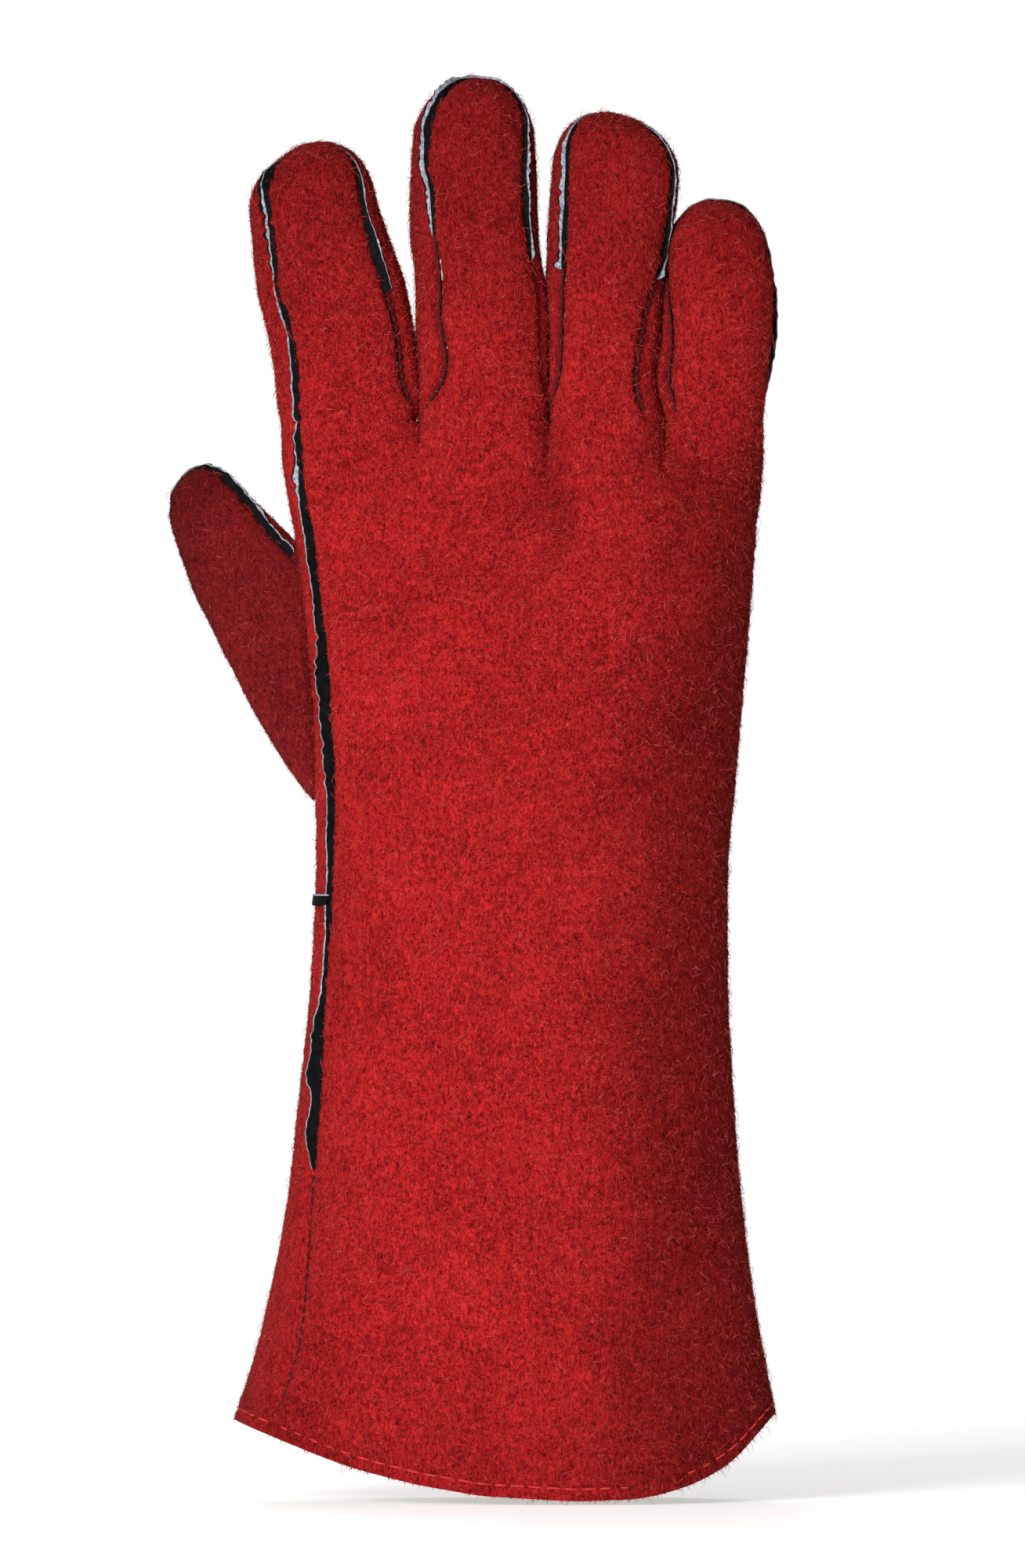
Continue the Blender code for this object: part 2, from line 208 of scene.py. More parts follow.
def smoothstep(low, high, value):
    share = np.clip((np.asarray(value, float) - low) / (high - low), 0.0, 1.0)
    return share * share * (3 - 2 * share)


def mix(low, high, share):
    return low + (high - low) * share


def signed_power(value, power):
    return np.sign(value) * np.abs(value) ** power


def unit(vectors):
    return vectors / np.maximum(np.linalg.norm(vectors, axis=-1, keepdims=True), 1e-9)


def curve_through(keys, values):
    """A smooth function through values at rising keys, which goes on straight beyond them."""
    keys, values = np.asarray(keys, float), np.asarray(values, float)
    slopes = np.gradient(values, keys)

    def at(key):
        key = np.asarray(key, float)
        i = np.clip(np.searchsorted(keys, key) - 1, 0, len(keys) - 2)
        span = keys[i + 1] - keys[i]
        t = np.clip((key - keys[i]) / span, 0.0, 1.0)
        inside = (
            (2 * t**3 - 3 * t**2 + 1) * values[i] + (t**3 - 2 * t**2 + t) * slopes[i] * span
            + (3 * t**2 - 2 * t**3) * values[i + 1] + (t**3 - t**2) * slopes[i + 1] * span
        )
        below = np.minimum(key - keys[0], 0.0) * slopes[0]
        above = np.maximum(key - keys[-1], 0.0) * slopes[-1]
        return inside + below + above

    return at


def table(rows):
    """A smooth function through (key, value) rows."""
    keys, values = zip(*rows)
    return curve_through(keys, values)


def ripple(points, wavelength, seed):
    """Smooth quasi-random waves over points, mostly between -1 and 1, the same for the same place."""
    random = np.random.default_rng(seed)
    total = 0.0
    waves = 9
    for _ in range(waves):
        direction = unit(random.normal(size=3)) * 2 * math.pi / wavelength * random.uniform(0.6, 1.5)
        total = total + np.sin(points @ direction + random.uniform(0, 2 * math.pi))
    return total / math.sqrt(waves)


def run_along(path):
    """Distance along a path from its first point to each point."""
    return np.concatenate([[0.0], np.cumsum(np.linalg.norm(np.diff(path, axis=0), axis=1))])


def spaced(low, high, step):
    return np.linspace(low, high, max(2, int(abs(high - low) / step) + 1))


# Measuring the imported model.


def edge_ends(*nodes):
    """Both ends of every edge of these CAD nodes, in millimetres."""
    ends = []
    for node in nodes:
        mesh = frame["nodes"][node].data
        points = np.array([vertex.co for vertex in mesh.vertices]) / MM
        ends.append(points[np.array([edge.vertices for edge in mesh.edges])])
    return np.concatenate(ends)


def cut(ends, axis, at):
    """The points where edges cross the plane at this place along an axis."""
    near, far = ends[:, 0, axis] - at, ends[:, 1, axis] - at
    crossing = near * far < 0
    share = (near[crossing] / (near[crossing] - far[crossing]))[:, None]
    return ends[crossing, 0] + share * (ends[crossing, 1] - ends[crossing, 0])


def low_z(node):
    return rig.box(node)[0].z / MM


def high_z(node):
    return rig.box(node)[1].z / MM


KNUCKLES = (high_z("hand_back") + low_z("index_back")) / 2
WRIST = (high_z("cuff_back") + low_z("hand_back")) / 2
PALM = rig.box("palm")[1].y / MM
# The cuff is measured from this height up, clear of its slanting hem.
LOWEST_CUT = 24.0


def measure_gauntlet():
    """Functions of height: left edge, right edge, back, and the angles of the two long seams."""
    cuff = edge_ends("cuff_back", "cuff_front"), edge_ends("cuff_back")
    hand = edge_ends("hand_back", "palm"), edge_ends("hand_back")
    rows = []
    on_cuff, on_hand = np.linspace(LOWEST_CUT, WRIST - 4, 9), np.linspace(WRIST + 4, KNUCKLES - 5, 8)
    for z in np.concatenate([on_cuff, on_hand]):
        both, back = cuff if z < WRIST else hand
        ring, panel = cut(both, 2, z), cut(back, 2, z)
        left, right = ring[:, 0].min(), ring[:, 0].max()
        half, centre = (right - left) / 2, (left + right) / 2
        seam_left = panel[panel[:, 0].argmin()]
        on_right = panel[panel[:, 0] > centre]
        seam_right = on_right[on_right[:, 1].argmax()]
        angles = [
            math.degrees(math.acos(min(1.0, abs(seam[0] - centre) / half) ** (1 / ROUNDNESS)))
            for seam in (seam_left, seam_right)
        ]
        rows.append((z, left, right, ring[:, 1].min(), angles[0], angles[1]))
    heights, *columns = np.array(rows).T
    # A fitted polynomial, because the model's flat facets would show as kinks.
    return [np.polynomial.Polynomial.fit(heights, column, 5) for column in columns]


LEFT, RIGHT, BACK, LEFT_SEAM, RIGHT_SEAM = measure_gauntlet()


def beyond(polynomial, z):
    """A fitted polynomial, which goes on straight below its lowest sample."""
    z = np.asarray(z, float)
    slope = polynomial.deriv()(LOWEST_CUT)
    return polynomial(np.maximum(z, LOWEST_CUT)) + np.minimum(z - LOWEST_CUT, 0.0) * slope


def measure_hem():
    """Height of the cuff's lower edge, as a function of x."""
    ends = edge_ends("cuff_back", "cuff_front")
    low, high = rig.box("cuff_back")
    places = np.linspace(low.x / MM + 4, high.x / MM - 2, 16)
    return curve_through(places, [cut(ends, 0, x)[:, 2].min() for x in places])


HEM = measure_hem()


# How far the leather stands off the measured left and right edges, by height as a share of the knuckles'.
LEFT_SHIFT = table(((0, 0), (0.6, 0), (0.7, 0.1), (0.8, 0.1), (0.9, -0.4), (0.97, -1.2), (1, -1.8)))
RIGHT_SHIFT = table(((0, 0), (0.55, 0), (0.65, -0.1), (0.77, 0.4), (0.84, 0), (0.94, 0), (1, 1.2)))


def gauntlet(z, degrees):
    """The hand's and cuff's outer surface."""
    z, angle = np.broadcast_arrays(np.asarray(z, float), np.radians(degrees))
    share = z / KNUCKLES
    left, right = beyond(LEFT, z) + LEFT_SHIFT(share), beyond(RIGHT, z) + RIGHT_SHIFT(share)
    back = beyond(BACK, z)
    depth = (PALM - back) / 2 * PALM_OVERFILL
    x = (left + right) / 2 + (right - left) / 2 * signed_power(np.cos(angle), ROUNDNESS)
    y = back + depth - depth * signed_power(np.sin(angle), ROUNDNESS)
    y = PALM - PALM_SOFTNESS * np.log1p(np.exp((PALM - y) / PALM_SOFTNESS))
    return np.stack([x, y, z], axis=-1)


def hem_height(angles):
    """Height of the hem at each angle round the cuff."""
    z = 10.0
    for _ in range(4):
        z = np.minimum(HEM(gauntlet(z, angles)[..., 0]), CORNER_HEIGHT)
    return z


def seam_degrees(z):
    """Angles of the hand's thumb-side and little-side seams."""
    return 180.0 - beyond(LEFT_SEAM, z), -beyond(RIGHT_SEAM, z)


def hull(points):
    """The convex outline of points in the XZ plane, anticlockwise."""
    flat = sorted({(round(x, 2), round(z, 2)) for x, _, z in points})

    def half(points):
        chain = []
        for p in points:
            while len(chain) > 1:
                (ax, az), (bx, bz) = chain[-2], chain[-1]
                if (bx - ax) * (p[1] - az) - (bz - az) * (p[0] - ax) > 1e-6:
                    break
                chain.pop()
            chain.append(p)
        return chain[:-1]

    return np.array(half(flat) + half(flat[::-1]))


def cut_corners(points):
    """A polyline with its corners cut, so that it reads as a curve. Its ends stay."""
    for _ in range(3):
        inner = np.empty((2 * len(points) - 2, 2))
        inner[0::2] = mix(points[:-1], points[1:], 0.25)
        inner[1::2] = mix(points[:-1], points[1:], 0.75)
        points = np.concatenate([points[:1], inner, points[-1:]])
    return points


def by_length(chain):
    """A polyline as functions x and z of the share of its length."""
    lengths = run_along(chain)
    shares = np.linspace(0.0, 1.0, 80)
    even = [np.interp(shares * lengths[-1], lengths, chain[:, i]) for i in (0, 1)]
    return curve_through(shares, even[0]), curve_through(shares, even[1]), lengths[-1]


# How far a padded side stands off the measured edge: (height above the knuckles, shift in x), left and
# right. Middle and ring, and ring and little, press against each other.
EDGE_SHIFTS = {
    "index": (
        ((0, -1.8), (6, -1.6), (14, -1.0), (22, -1.1), (32, -1.9), (45, -1.7), (60, -1.2), (66, 0.9),
         (72, 2)),
        ((0, 0.1), (2, 1.4), (5, 2.0), (10, 2.3), (17, 2.4), (27, 2.2), (37, 2.1), (45, 1.4), (57, 1.0),
         (66, 1.5), (72, 2)),
    ),
    "middle": (
        ((0, -0.1), (2, -0.5), (5, -0.5), (20, -0.4), (38, -0.2), (47, -1.5), (56, -2.1), (66, -2.0),
         (76, -1.9), (86, -0.8)),
        ((0, 0.1), (2, 0.5), (12, 0.8), (22, 1.4), (31, 1.7), (40, 0.5), (60, 0.4), (72, 0.9),
         (80, 0.8), (86, 0.5)),
    ),
    "ring": (
        ((0, -0.1), (2, -0.5), (12, -0.5), (24, -0.6), (34, -1.1), (48, -1.0), (56, -0.8), (66, -1.0),
         (72, -1.9), (78, -3.0)),
        ((0, -0.3), (9, -2.6), (20, -1.8), (34, -1.3), (45, -0.6), (55, 1.0), (66, 1.2), (72, 0.0),
         (78, -3.0)),
    ),
    "little": (
        ((0, -0.5), (4, -1.6), (9, -3.4), (20, -3.0), (34, -3.0), (45, -2.4), (52, -1.2), (60, -0.2)),
        ((0, 1.2), (15, 0.9), (40, 1.4), (50, 1.0), (60, 0.3)),
    ),
    "thumb": (((0, 0), (1, 0)), ((0, 0), (1, 0))),
}


class Digit:
    """A finger or thumb as a tube, with its share of length v from 0 at its base to 1 at its tip."""

    def __init__(self, name, facing, crown, front, mid_y, tip_y, full_width, base=None, root=0.0):
        self.name, self.crown, self.front, self.mid_y, self.tip_y = name, crown, front, mid_y, tip_y
        self.full_width, self.root = full_width, root
        outline = hull(edge_ends(f"{name}_back").reshape(-1, 3))
        # The base is the outline's longest side that faces the hand. The lowest corner is on the left.
        sides = np.roll(outline, -1, axis=0) - outline
        towards_hand = sides[:, 1] * facing[0] - sides[:, 0] * facing[1]
        outline = np.roll(outline, -int(towards_hand.argmax()) - 1, axis=0)
        outline = outline[: int((outline @ (0.01, 1.0)).argmin()) + 1]
        right, left = outline[0], outline[-1]
        tip = int(np.linalg.norm(outline - (right + left) / 2, axis=1).argmax())
        if base:
            outline[0], outline[-1] = (base[1], KNUCKLES), (base[0], KNUCKLES)
        curve = cut_corners(outline)
        top = int(np.linalg.norm(curve - outline[tip], axis=1).argmin())
        self.right = by_length(curve[: top + 1])
        self.left = by_length(curve[top:][::-1])
        self.length = (self.left[2] + self.right[2]) / 2
        self.shifts = [table(rows) for rows in EDGE_SHIFTS[name]]

    def rung(self, v):
        """Left and right ends at v, as (x, z) points."""
        ends = []
        for (x, z, _), shift in zip((self.left, self.right), self.shifts):
            height = z(v) - KNUCKLES
            ends.append(np.stack([x(v) + shift(height), z(v)], axis=-1))
        return ends

    def surface(self, v, degrees):
        """The outer surface. Below 0, v leads into the hand, where the palm side laps on to the palm."""
        v, angle = np.broadcast_arrays(np.asarray(v, float), np.radians(degrees))
        inward = np.maximum(-v, 0.0) / ROOT_SHARE
        left, right = self.rung(np.maximum(v, 0.0))
        size = np.linalg.norm(right - left, axis=-1) / self.full_width
        size = (size / (1 + size**6) ** (1 / 6)) ** 0.8
        middle, half = (left + right) / 2, (right - left) / 2
        flat = middle + half * signed_power(np.cos(angle), ROUNDNESS)[..., None]
        mid_y = mix(self.tip_y, self.mid_y, size)
        depth = np.where(np.sin(angle) > 0, self.mid_y - self.crown, self.front - self.mid_y) * size
        y = mid_y - depth * signed_power(np.sin(angle), ROUNDNESS)
        lap = smoothstep(self.mid_y - 4, self.front - 2, y)
        x = flat[..., 0] + self.root * inward * mix(0.3, 1.0, lap)
        y = y + inward * mix(3.0, -1.2 * inward, lap) * (self.root > 0)
        return np.stack([x, y, flat[..., 1]], axis=-1)


def fingers_base(name):
    """Left and right edge of a finger's leather at its base."""
    section = cut(edge_ends(f"{name}_back"), 2, low_z(f"{name}_back") + 0.2)
    return section[:, 0].min(), section[:, 0].max()


def make_digits():
    """The five digits. Neighbouring fingers share one line at the knuckles."""
    lows, highs = zip(*[fingers_base(name) for name in FINGERS])
    lines = [lows[0], *[(a + b) / 2 for a, b in zip(highs, lows[1:])], highs[-1]]
    crowns = {"index": 2.0, "middle": 0.3, "ring": 0.6, "little": 3.0}
    digits = {
        name: Digit(name, (0.0, -1.0), crowns[name], PALM + 0.8, DIGIT_MID_Y, 19.0, 24.0, base)
        for name, *base in zip(FINGERS, lines, lines[1:])
    }
    digits["thumb"] = Digit(
        "thumb", (1.0, 0.0), 9.5, PALM + 0.5, 20.0, 21.0, 16.0, root=ROOT_REACH
    )
    return digits


DIGITS = make_digits()

# Angle of each finger's two back seams off its widest line, by share of its length.
SEAM_ANGLES = {
    "index": (
        ((0, 48), (0.12, 50), (0.35, 52), (0.5, 50), (0.75, 45), (0.83, 36), (0.9, 20), (1, -16)),
        ((0, 6), (0.1, 36), (0.3, 42), (0.75, 40), (0.85, 30), (0.93, 14), (1, -16)),
    ),
    "middle": (
        ((0, 8), (0.08, 46), (0.3, 52), (0.5, 54), (0.6, 55), (0.7, 48), (0.8, 45), (0.9, 34), (1, 14)),
        ((0, 8), (0.1, 24), (0.4, 32), (0.75, 33), (0.88, 26), (1, 14)),
    ),
    "ring": (
        ((0, 10), (0.1, 32), (0.3, 42), (0.5, 46), (0.65, 44), (0.8, 37), (0.9, 24), (1, 2)),
        ((0, 50), (0.15, 54), (0.35, 44), (0.45, 26), (0.7, 24), (0.9, 18), (1, 2)),
    ),
    "little": (
        ((0, 40), (0.2, 42), (0.45, 32), (0.6, 14), (0.8, -6), (1, -12)),
        ((0, -24), (0.2, -12), (0.5, -2), (0.7, -6), (1, -12)),
    ),
    "thumb": (
        ((0, -30), (0.5, -35), (0.85, -25), (1, 10)),
        ((0, 34), (0.4, 32), (0.75, 28), (1, 20)),
    ),
}
PALM_SEAM = 52.0

# How far each digit's left and right back seam gapes where no welt is sewn into it, and how much painted shade it
# gets.
OPEN_SEAMS = {
    "index": (0.0, 1.0),
    "middle": (1.0, 0.3),
    "ring": (1.0, 1.0),
    "little": (1.0, 0.0),
    "thumb": (0.0, 0.0),
}
# The palm-side seams gape this much, and get as much painted shade.
OPEN_PALM_SEAM = 0.4


def back_seams(digit, v):
    """Angles of a digit's left and right back seam."""
    v = max(v, 0.0)
    left, right = (table(rows)(v) for rows in SEAM_ANGLES[digit.name])
    return 180.0 - left, right


# How the valleys between the fingers fade below the knuckles: depth they keep, and reach of the rest.
VALLEYS = ((0.8, 5.5), (2.2, 9.0), (2.6, 7.0))
PALM_VALLEYS = ((1.0, 5.0), (1.0, 5.0), (1.0, 5.0))


def knuckle_columns(front, columns=COLUMNS):
    """(digit, its angle, valley beside it or None) of each column of the back or palm at the knuckles."""
    found = []
    order = FINGERS[::-1] if front else FINGERS
    for i, name in enumerate(order):
        digit = DIGITS[name]
        first, last = (0.0, -180.0) if front else (180.0, 0.0)
        left, right = back_seams(digit, 0.0)
        if i == 0:
            first = right if front else left
        if i == len(order) - 1:
            last = left - 360.0 if front else right
        for share in np.linspace(0.0, 1.0, columns + 1)[0 if i == 0 else 1:]:
            angle = mix(first, last, share)
            middle = -90.0 if front else 90.0
            valley = i - 1 if angle > middle else i
            found.append((digit, angle, valley if 0 <= valley < len(order) - 1 else None))
    return found


def soften(depth, limit):
    """Depth, held under a limit without a corner."""
    return limit * (1 - np.exp(-depth / limit))


def gauntlet_grid(front, heights, columns=COLUMNS):
    """Points on the back or the palm of the hand and cuff, rising from the hem or the wrist."""
    at_knuckles = knuckle_columns(front, columns)
    valleys = PALM_VALLEYS if front else VALLEYS
    ring = np.array([digit.surface(0.0, angle) for digit, angle, _ in at_knuckles])
    crown = np.array([digit.front if front else digit.crown for digit, _, _ in at_knuckles])
    crown = np.convolve(np.pad(crown, 6, mode="edge"), np.ones(13) / 13, mode="valid")
    sign = -1.0 if front else 1.0
    depth = np.maximum((ring[:, 1] - crown) * sign, 0.0)
    inner = np.array([valley is not None for _, _, valley in at_knuckles])
    keep = np.array([valleys[valley or 0][0] for _, _, valley in at_knuckles])
    reach = np.array([valleys[valley or 0][1] for _, _, valley in at_knuckles])
    soft = np.where(inner, crown + sign * soften(depth, 2.5), ring[:, 1])
    steps = np.hypot(np.diff(ring[:, 0]), np.diff(soft))
    share_knuckles = np.concatenate([[0.0], np.cumsum(steps)]) / steps.sum()
    even = np.linspace(0.0, 1.0, columns + 1)
    stops = share_knuckles[::columns]
    share_even = np.concatenate(
        [mix(a, b, even)[0 if i == 0 else 1:] for i, (a, b) in enumerate(zip(stops, stops[1:]))]
    )
    fine = np.linspace(0.0, 1.0, 240)
    rows = []
    for height in heights:
        start, end = seam_degrees(height)
        if front:
            start, end = end, start - 360.0
        angles = mix(start, end, fine)
        run = run_along(gauntlet(height, angles))
        share = mix(share_even, share_knuckles, smoothstep(KNUCKLES - COLUMN_REACH, KNUCKLES, height))
        angles = np.interp(share * run[-1], run, angles)
        z = height
        if height < HEM_REACH:
            z = height + hem_height(angles) * (1 - smoothstep(0.0, HEM_REACH, height))
        points = gauntlet(z, angles)
        below = KNUCKLES - height
        # At the knuckles themselves the limit is so high that the palm meets the fingers exactly.
        near = np.exp(-below / reach) / (1.001 - np.exp(-below / 2.0))
        limit = keep * np.exp(-below / 30.0) + 18.0 * near
        target = np.where(inner, crown + sign * soften(depth, limit), ring[:, 1])
        weight = smoothstep(DOME_REACH, 0.0, below)
        points[:, 0] = mix(points[:, 0], ring[:, 0], weight * smoothstep(COLUMN_REACH, 0.0, below))
        points[:, 1] = mix(points[:, 1], target, weight)
        rows.append(points)
    return np.array(rows)


def normals_of(grid, closed=False):
    """Outward unit normals of a grid."""
    if closed:
        across = np.roll(grid, -1, axis=1) - np.roll(grid, 1, axis=1)
    else:
        across = np.gradient(grid, axis=1)
    return unit(np.cross(across, np.gradient(grid, axis=0)))


# Turning grids into pieces.


def settle(piece, slot, place, *nodes):
    """Gives a piece its finish slot, the model's nodes that it stands in for, and its bodies."""
    if nodes:
        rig.replaces(piece, *nodes)
    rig.slot(piece, slot)
    place(piece)


# How an open seam gapes, how far a panel's edge rolls into its seam, and the pitch of its puckers.
NO_CREASE = (0.0, 0.0)
CREASE_DEPTH = 0.7
CREASE_REACH = 1.5
ROLL_REACH = 1.1
PUCKER_PITCH = 4.2

# Edges that turn by more than this many degrees are shaded as edges.
SHEET_SHARP = 50
STITCH_SHARP = 60


def mesh_piece(name, vertices, faces, material, sharp=None):
    mesh = bpy.data.meshes.new(name)
    mesh.from_pydata((np.asarray(vertices) * MM).tolist(), [], faces)
    mesh.materials.append(material)
    mesh.shade_smooth()
    if sharp:
        mesh.set_sharp_from_angle(angle=math.radians(sharp))
    obj = bpy.data.objects.new(name, mesh)
    bpy.context.scene.collection.objects.link(obj)
    return obj


def quads_of(rows, columns, offset, flip, closed=False):
    r, c = np.meshgrid(np.arange(rows - 1), np.arange(columns if closed else columns - 1), indexing="ij")
    near, after = r * columns + c, r * columns + (c + 1) % columns
    quads = np.stack([near, after, after + columns, near + columns], axis=-1).reshape(-1, 4) + offset
    return quads[:, ::-1] if flip else quads


def sheet(name, outer, inner, material, closed=False):
    """A closed sheet between two grids. closed joins each row's ends, so that the sheet is a tube."""
    rows, columns = outer.shape[:2]
    count = rows * columns
    faces = [
        quads_of(rows, columns, 0, False, closed), quads_of(rows, columns, count, True, closed)
    ]
    index = np.arange(count).reshape(rows, columns)
    if closed:
        rims = [np.append(index[0][::-1], index[0][-1]), np.append(index[-1], index[-1][0])]
    else:
        rims = [np.concatenate([
            index[0, ::-1], index[1:, 0], index[-1, 1:], index[-2:0:-1, -1], index[0, -1:]
        ])]
    for rim in rims:
        a, b = rim[:-1], rim[1:]
        faces.append(np.stack([a, b, b + count, a + count], axis=-1))
    vertices = np.concatenate([outer.reshape(-1, 3), inner.reshape(-1, 3)])
    return mesh_piece(name, vertices, np.concatenate(faces).tolist(), material, SHEET_SHARP)


def edge_distance(grid):
    """Distance along the row from each point to the grid's first and last column."""
    steps = np.linalg.norm(np.diff(grid, axis=1), axis=2)
    run = np.concatenate([np.zeros((len(grid), 1)), np.cumsum(steps, axis=1)], axis=1)
    return run, run[:, -1:] - run


def creases(grid, strengths):
    """How deep each point lies in a crease along the grid's first and last column, from 0 to 1. Seams
    without a welt gape between the fingers' bases and middles. The depth sinks the leather, thins the
    nap and gives the suede's colour painted shade.
    """
    height = grid[..., 2] - KNUCKLES
    gaping = smoothstep(1.0, 7.0, height) * (1 - smoothstep(34.0, 50.0, height))
    first, last = (
        strength * np.exp(-((distance / CREASE_REACH) ** 2))
        for strength, distance in zip(strengths, edge_distance(grid))
    )
    return gaping * np.maximum(first, last)


def leather(name, grid, material, roll=0.9, crease=NO_CREASE):
    """A suede panel whose long edges turn down into their seams. Returns the piece and its outer face."""
    normals = normals_of(grid)
    outer = grid + normals * (0.28 * ripple(grid, 26.0, 3) + 0.10 * ripple(grid, 7.0, 5))[..., None]
    pucker = 1 + 0.2 * np.sin(grid[..., 2] * 2 * math.pi / PUCKER_PITCH) + 0.25 * ripple(grid, 5.0, 9)
    for distance in edge_distance(grid):
        outer = outer - normals * (roll * pucker * np.exp(-((distance / ROLL_REACH) ** 2)))[..., None]
    sunk = creases(grid, crease)
    outer = outer - normals * (CREASE_DEPTH * sunk)[..., None]
    piece = sheet(name, outer, outer - normals * LEATHER, material)
    # Painted shade: the crease depth is stored so that the suede darkens its colour there.
    shade = piece.data.attributes.new("crease", "FLOAT", "POINT")
    shade.data.foreach_set("value", np.tile(sunk.ravel(), 2))
    return piece, outer


# Materials.


class Finish:
    """A material in the making: its shader, and methods that add nodes to it."""

    def __init__(self, name, roughness, specular):
        self.material = bpy.data.materials.new(name)
        self.material.use_nodes = True
        self.tree = self.material.node_tree
        self.shader = self.tree.nodes["Principled BSDF"]
        self.set_values(roughness=roughness, specular_ior_level=specular)
        self.place = self.tree.nodes.new("ShaderNodeTexCoord").outputs["Object"]

    def set_values(self, **values):
        """Sets the shader's values, named as its sockets are but in lower case with underscores."""
        sockets = {socket.name.lower().replace(" ", "_"): socket for socket in self.shader.inputs}
        for name, value in values.items():
            sockets[name].default_value = value

    def add(self, kind, inputs, **settings):
        """A new node. Each of its inputs is a value or another node's output."""
        node = self.tree.nodes.new(f"ShaderNode{kind}")
        for setting, value in settings.items():
            setattr(node, setting, value)
        for key, value in inputs.items():
            if isinstance(value, bpy.types.NodeSocket):
                self.tree.links.new(value, node.inputs[key])
            else:
                node.inputs[key].default_value = value
        return node

    def math(self, operation, a, b):
        return self.add("Math", {0: a, 1: b}, operation=operation).outputs[0]

    def product(self, first, *others):
        for other in others:
            first = self.math("MULTIPLY", first, other)
        return first

    def noise(
        self, scale, detail=2.0, roughness=0.5, distortion=0.0, turn=None, stretch=None, output="Fac"
    ):
        """Noise, which can be turned and stretched."""
        place = self.place
        if stretch:
            mapping = self.add("Mapping", {"Vector": place, "Rotation": turn, "Scale": stretch})
            place = mapping.outputs["Vector"]
        inputs = {
            "Vector": place, "Scale": scale, "Detail": detail, "Roughness": roughness,
            "Distortion": distortion,
        }
        return self.add("TexNoise", inputs).outputs[output]

    def ramp(self, value, start, end, low, high):
        """A smooth change from low to high while the value goes from start to end."""
        inputs = {"Value": value, "From Min": start, "From Max": end, "To Min": low, "To Max": high}
        return self.add("MapRange", inputs, interpolation_type="SMOOTHSTEP").outputs[0]

    def colours(self, value, low, high, *between):
        """A colour by value, from (value, colour) stops."""
        node = self.add("ValToRGB", {"Fac": value})
        elements = node.color_ramp.elements
        for element, (position, colour) in zip(elements, (low, high)):
            element.position = position
            element.color = (*colour, 1.0)
        for position, colour in between:
            elements.new(position).color = (*colour, 1.0)
        return node.outputs["Color"]

    def paint(self, colour, factor=None):
        """Gives the shader a colour, made darker by the factor if there is one."""
        if factor is not None:
            colour = self.add("VectorMath", {0: colour, "Scale": factor}, operation="SCALE").outputs[0]
        self.tree.links.new(colour, self.shader.inputs["Base Color"])

    def bump(self, height, strength, distance):
        node = self.add("Bump", {"Height": height, "Strength": strength, "Distance": distance})
        self.tree.links.new(node.outputs["Normal"], self.shader.inputs["Normal"])


def painted_shade(finish):
    """Painted shade by place: a factor that darkens the colour on the right of the hand and cuff,
    towards the fingertips and the thumb's tip, near the hem, a little along the left side and in soft
    streaks down from between the fingers, where the form turns from the light or folds. Noise moves these
    zones, by 15 mm on average, so the places below are 15 mm past the zones' own.
    """
    noise = finish.noise(55.0, 4.0, output="Color")
    inputs = {0: noise, 1: (0.03, 0.03, 0.03), 2: finish.place}
    moved = finish.add("VectorMath", inputs, operation="MULTIPLY_ADD").outputs["Vector"]
    split = finish.add("SeparateXYZ", {0: moved}).outputs
    x, z, ramp = split["X"], split["Z"], finish.ramp

    def zone(*depths):
        """A factor that falls under 1 by the product of depths."""
        return finish.math("SUBTRACT", 1.0, finish.product(*depths))

    def fold(centre, half, low, depth):
        """Painted shade: a soft dark streak that runs down from between two fingers, for the shade of a fold."""
        sides = ramp(x, centre - half, centre, 0.0, 1.0), ramp(x, centre, centre + half, 1.0, 0.0)
        return zone(*sides, ramp(z, low, low + 0.035, 0.0, depth), ramp(z, 0.272, 0.292, 1.0, 0.0))

    # The painted shade on the right side starts further right on the hand than on the cuff, and ends at the knuckles.
    on_right = finish.math("SUBTRACT", x, ramp(z, 0.200, 0.262, 0.0, 0.011))
    right_depth = finish.product(ramp(z, 0.175, 0.205, 0.40, 0.53), ramp(z, 0.258, 0.290, 1.0, 0.15))
    on_cuff = ramp(z, 0.175, 0.205, 1.0, 0.0)
    fingertips = ramp(z, 0.270, 0.370, 1.0, 0.60)
    thumb_tip = ramp(x, -0.072, -0.046, 0.50, 1.0)
    left_side = ramp(x, -0.050, -0.022, 0.87, 1.0)
    hem = ramp(z, 0.018, 0.060, 0.86, 1.0)
    # Painted shade: the product below darkens the colour where the form is shaded.
    return finish.product(
        fingertips, thumb_tip, left_side, hem,
        zone(ramp(on_right, 0.034, 0.062, 0.0, 1.0), right_depth),
        zone(ramp(x, 0.018, 0.048, 0.0, 0.16), on_cuff),
        zone(ramp(x, -0.042, -0.008, 0.20, 0.0), on_cuff),
        fold(0.025, 0.009, 0.225, 0.30),
        fold(0.055, 0.009, 0.240, 0.30),
    )


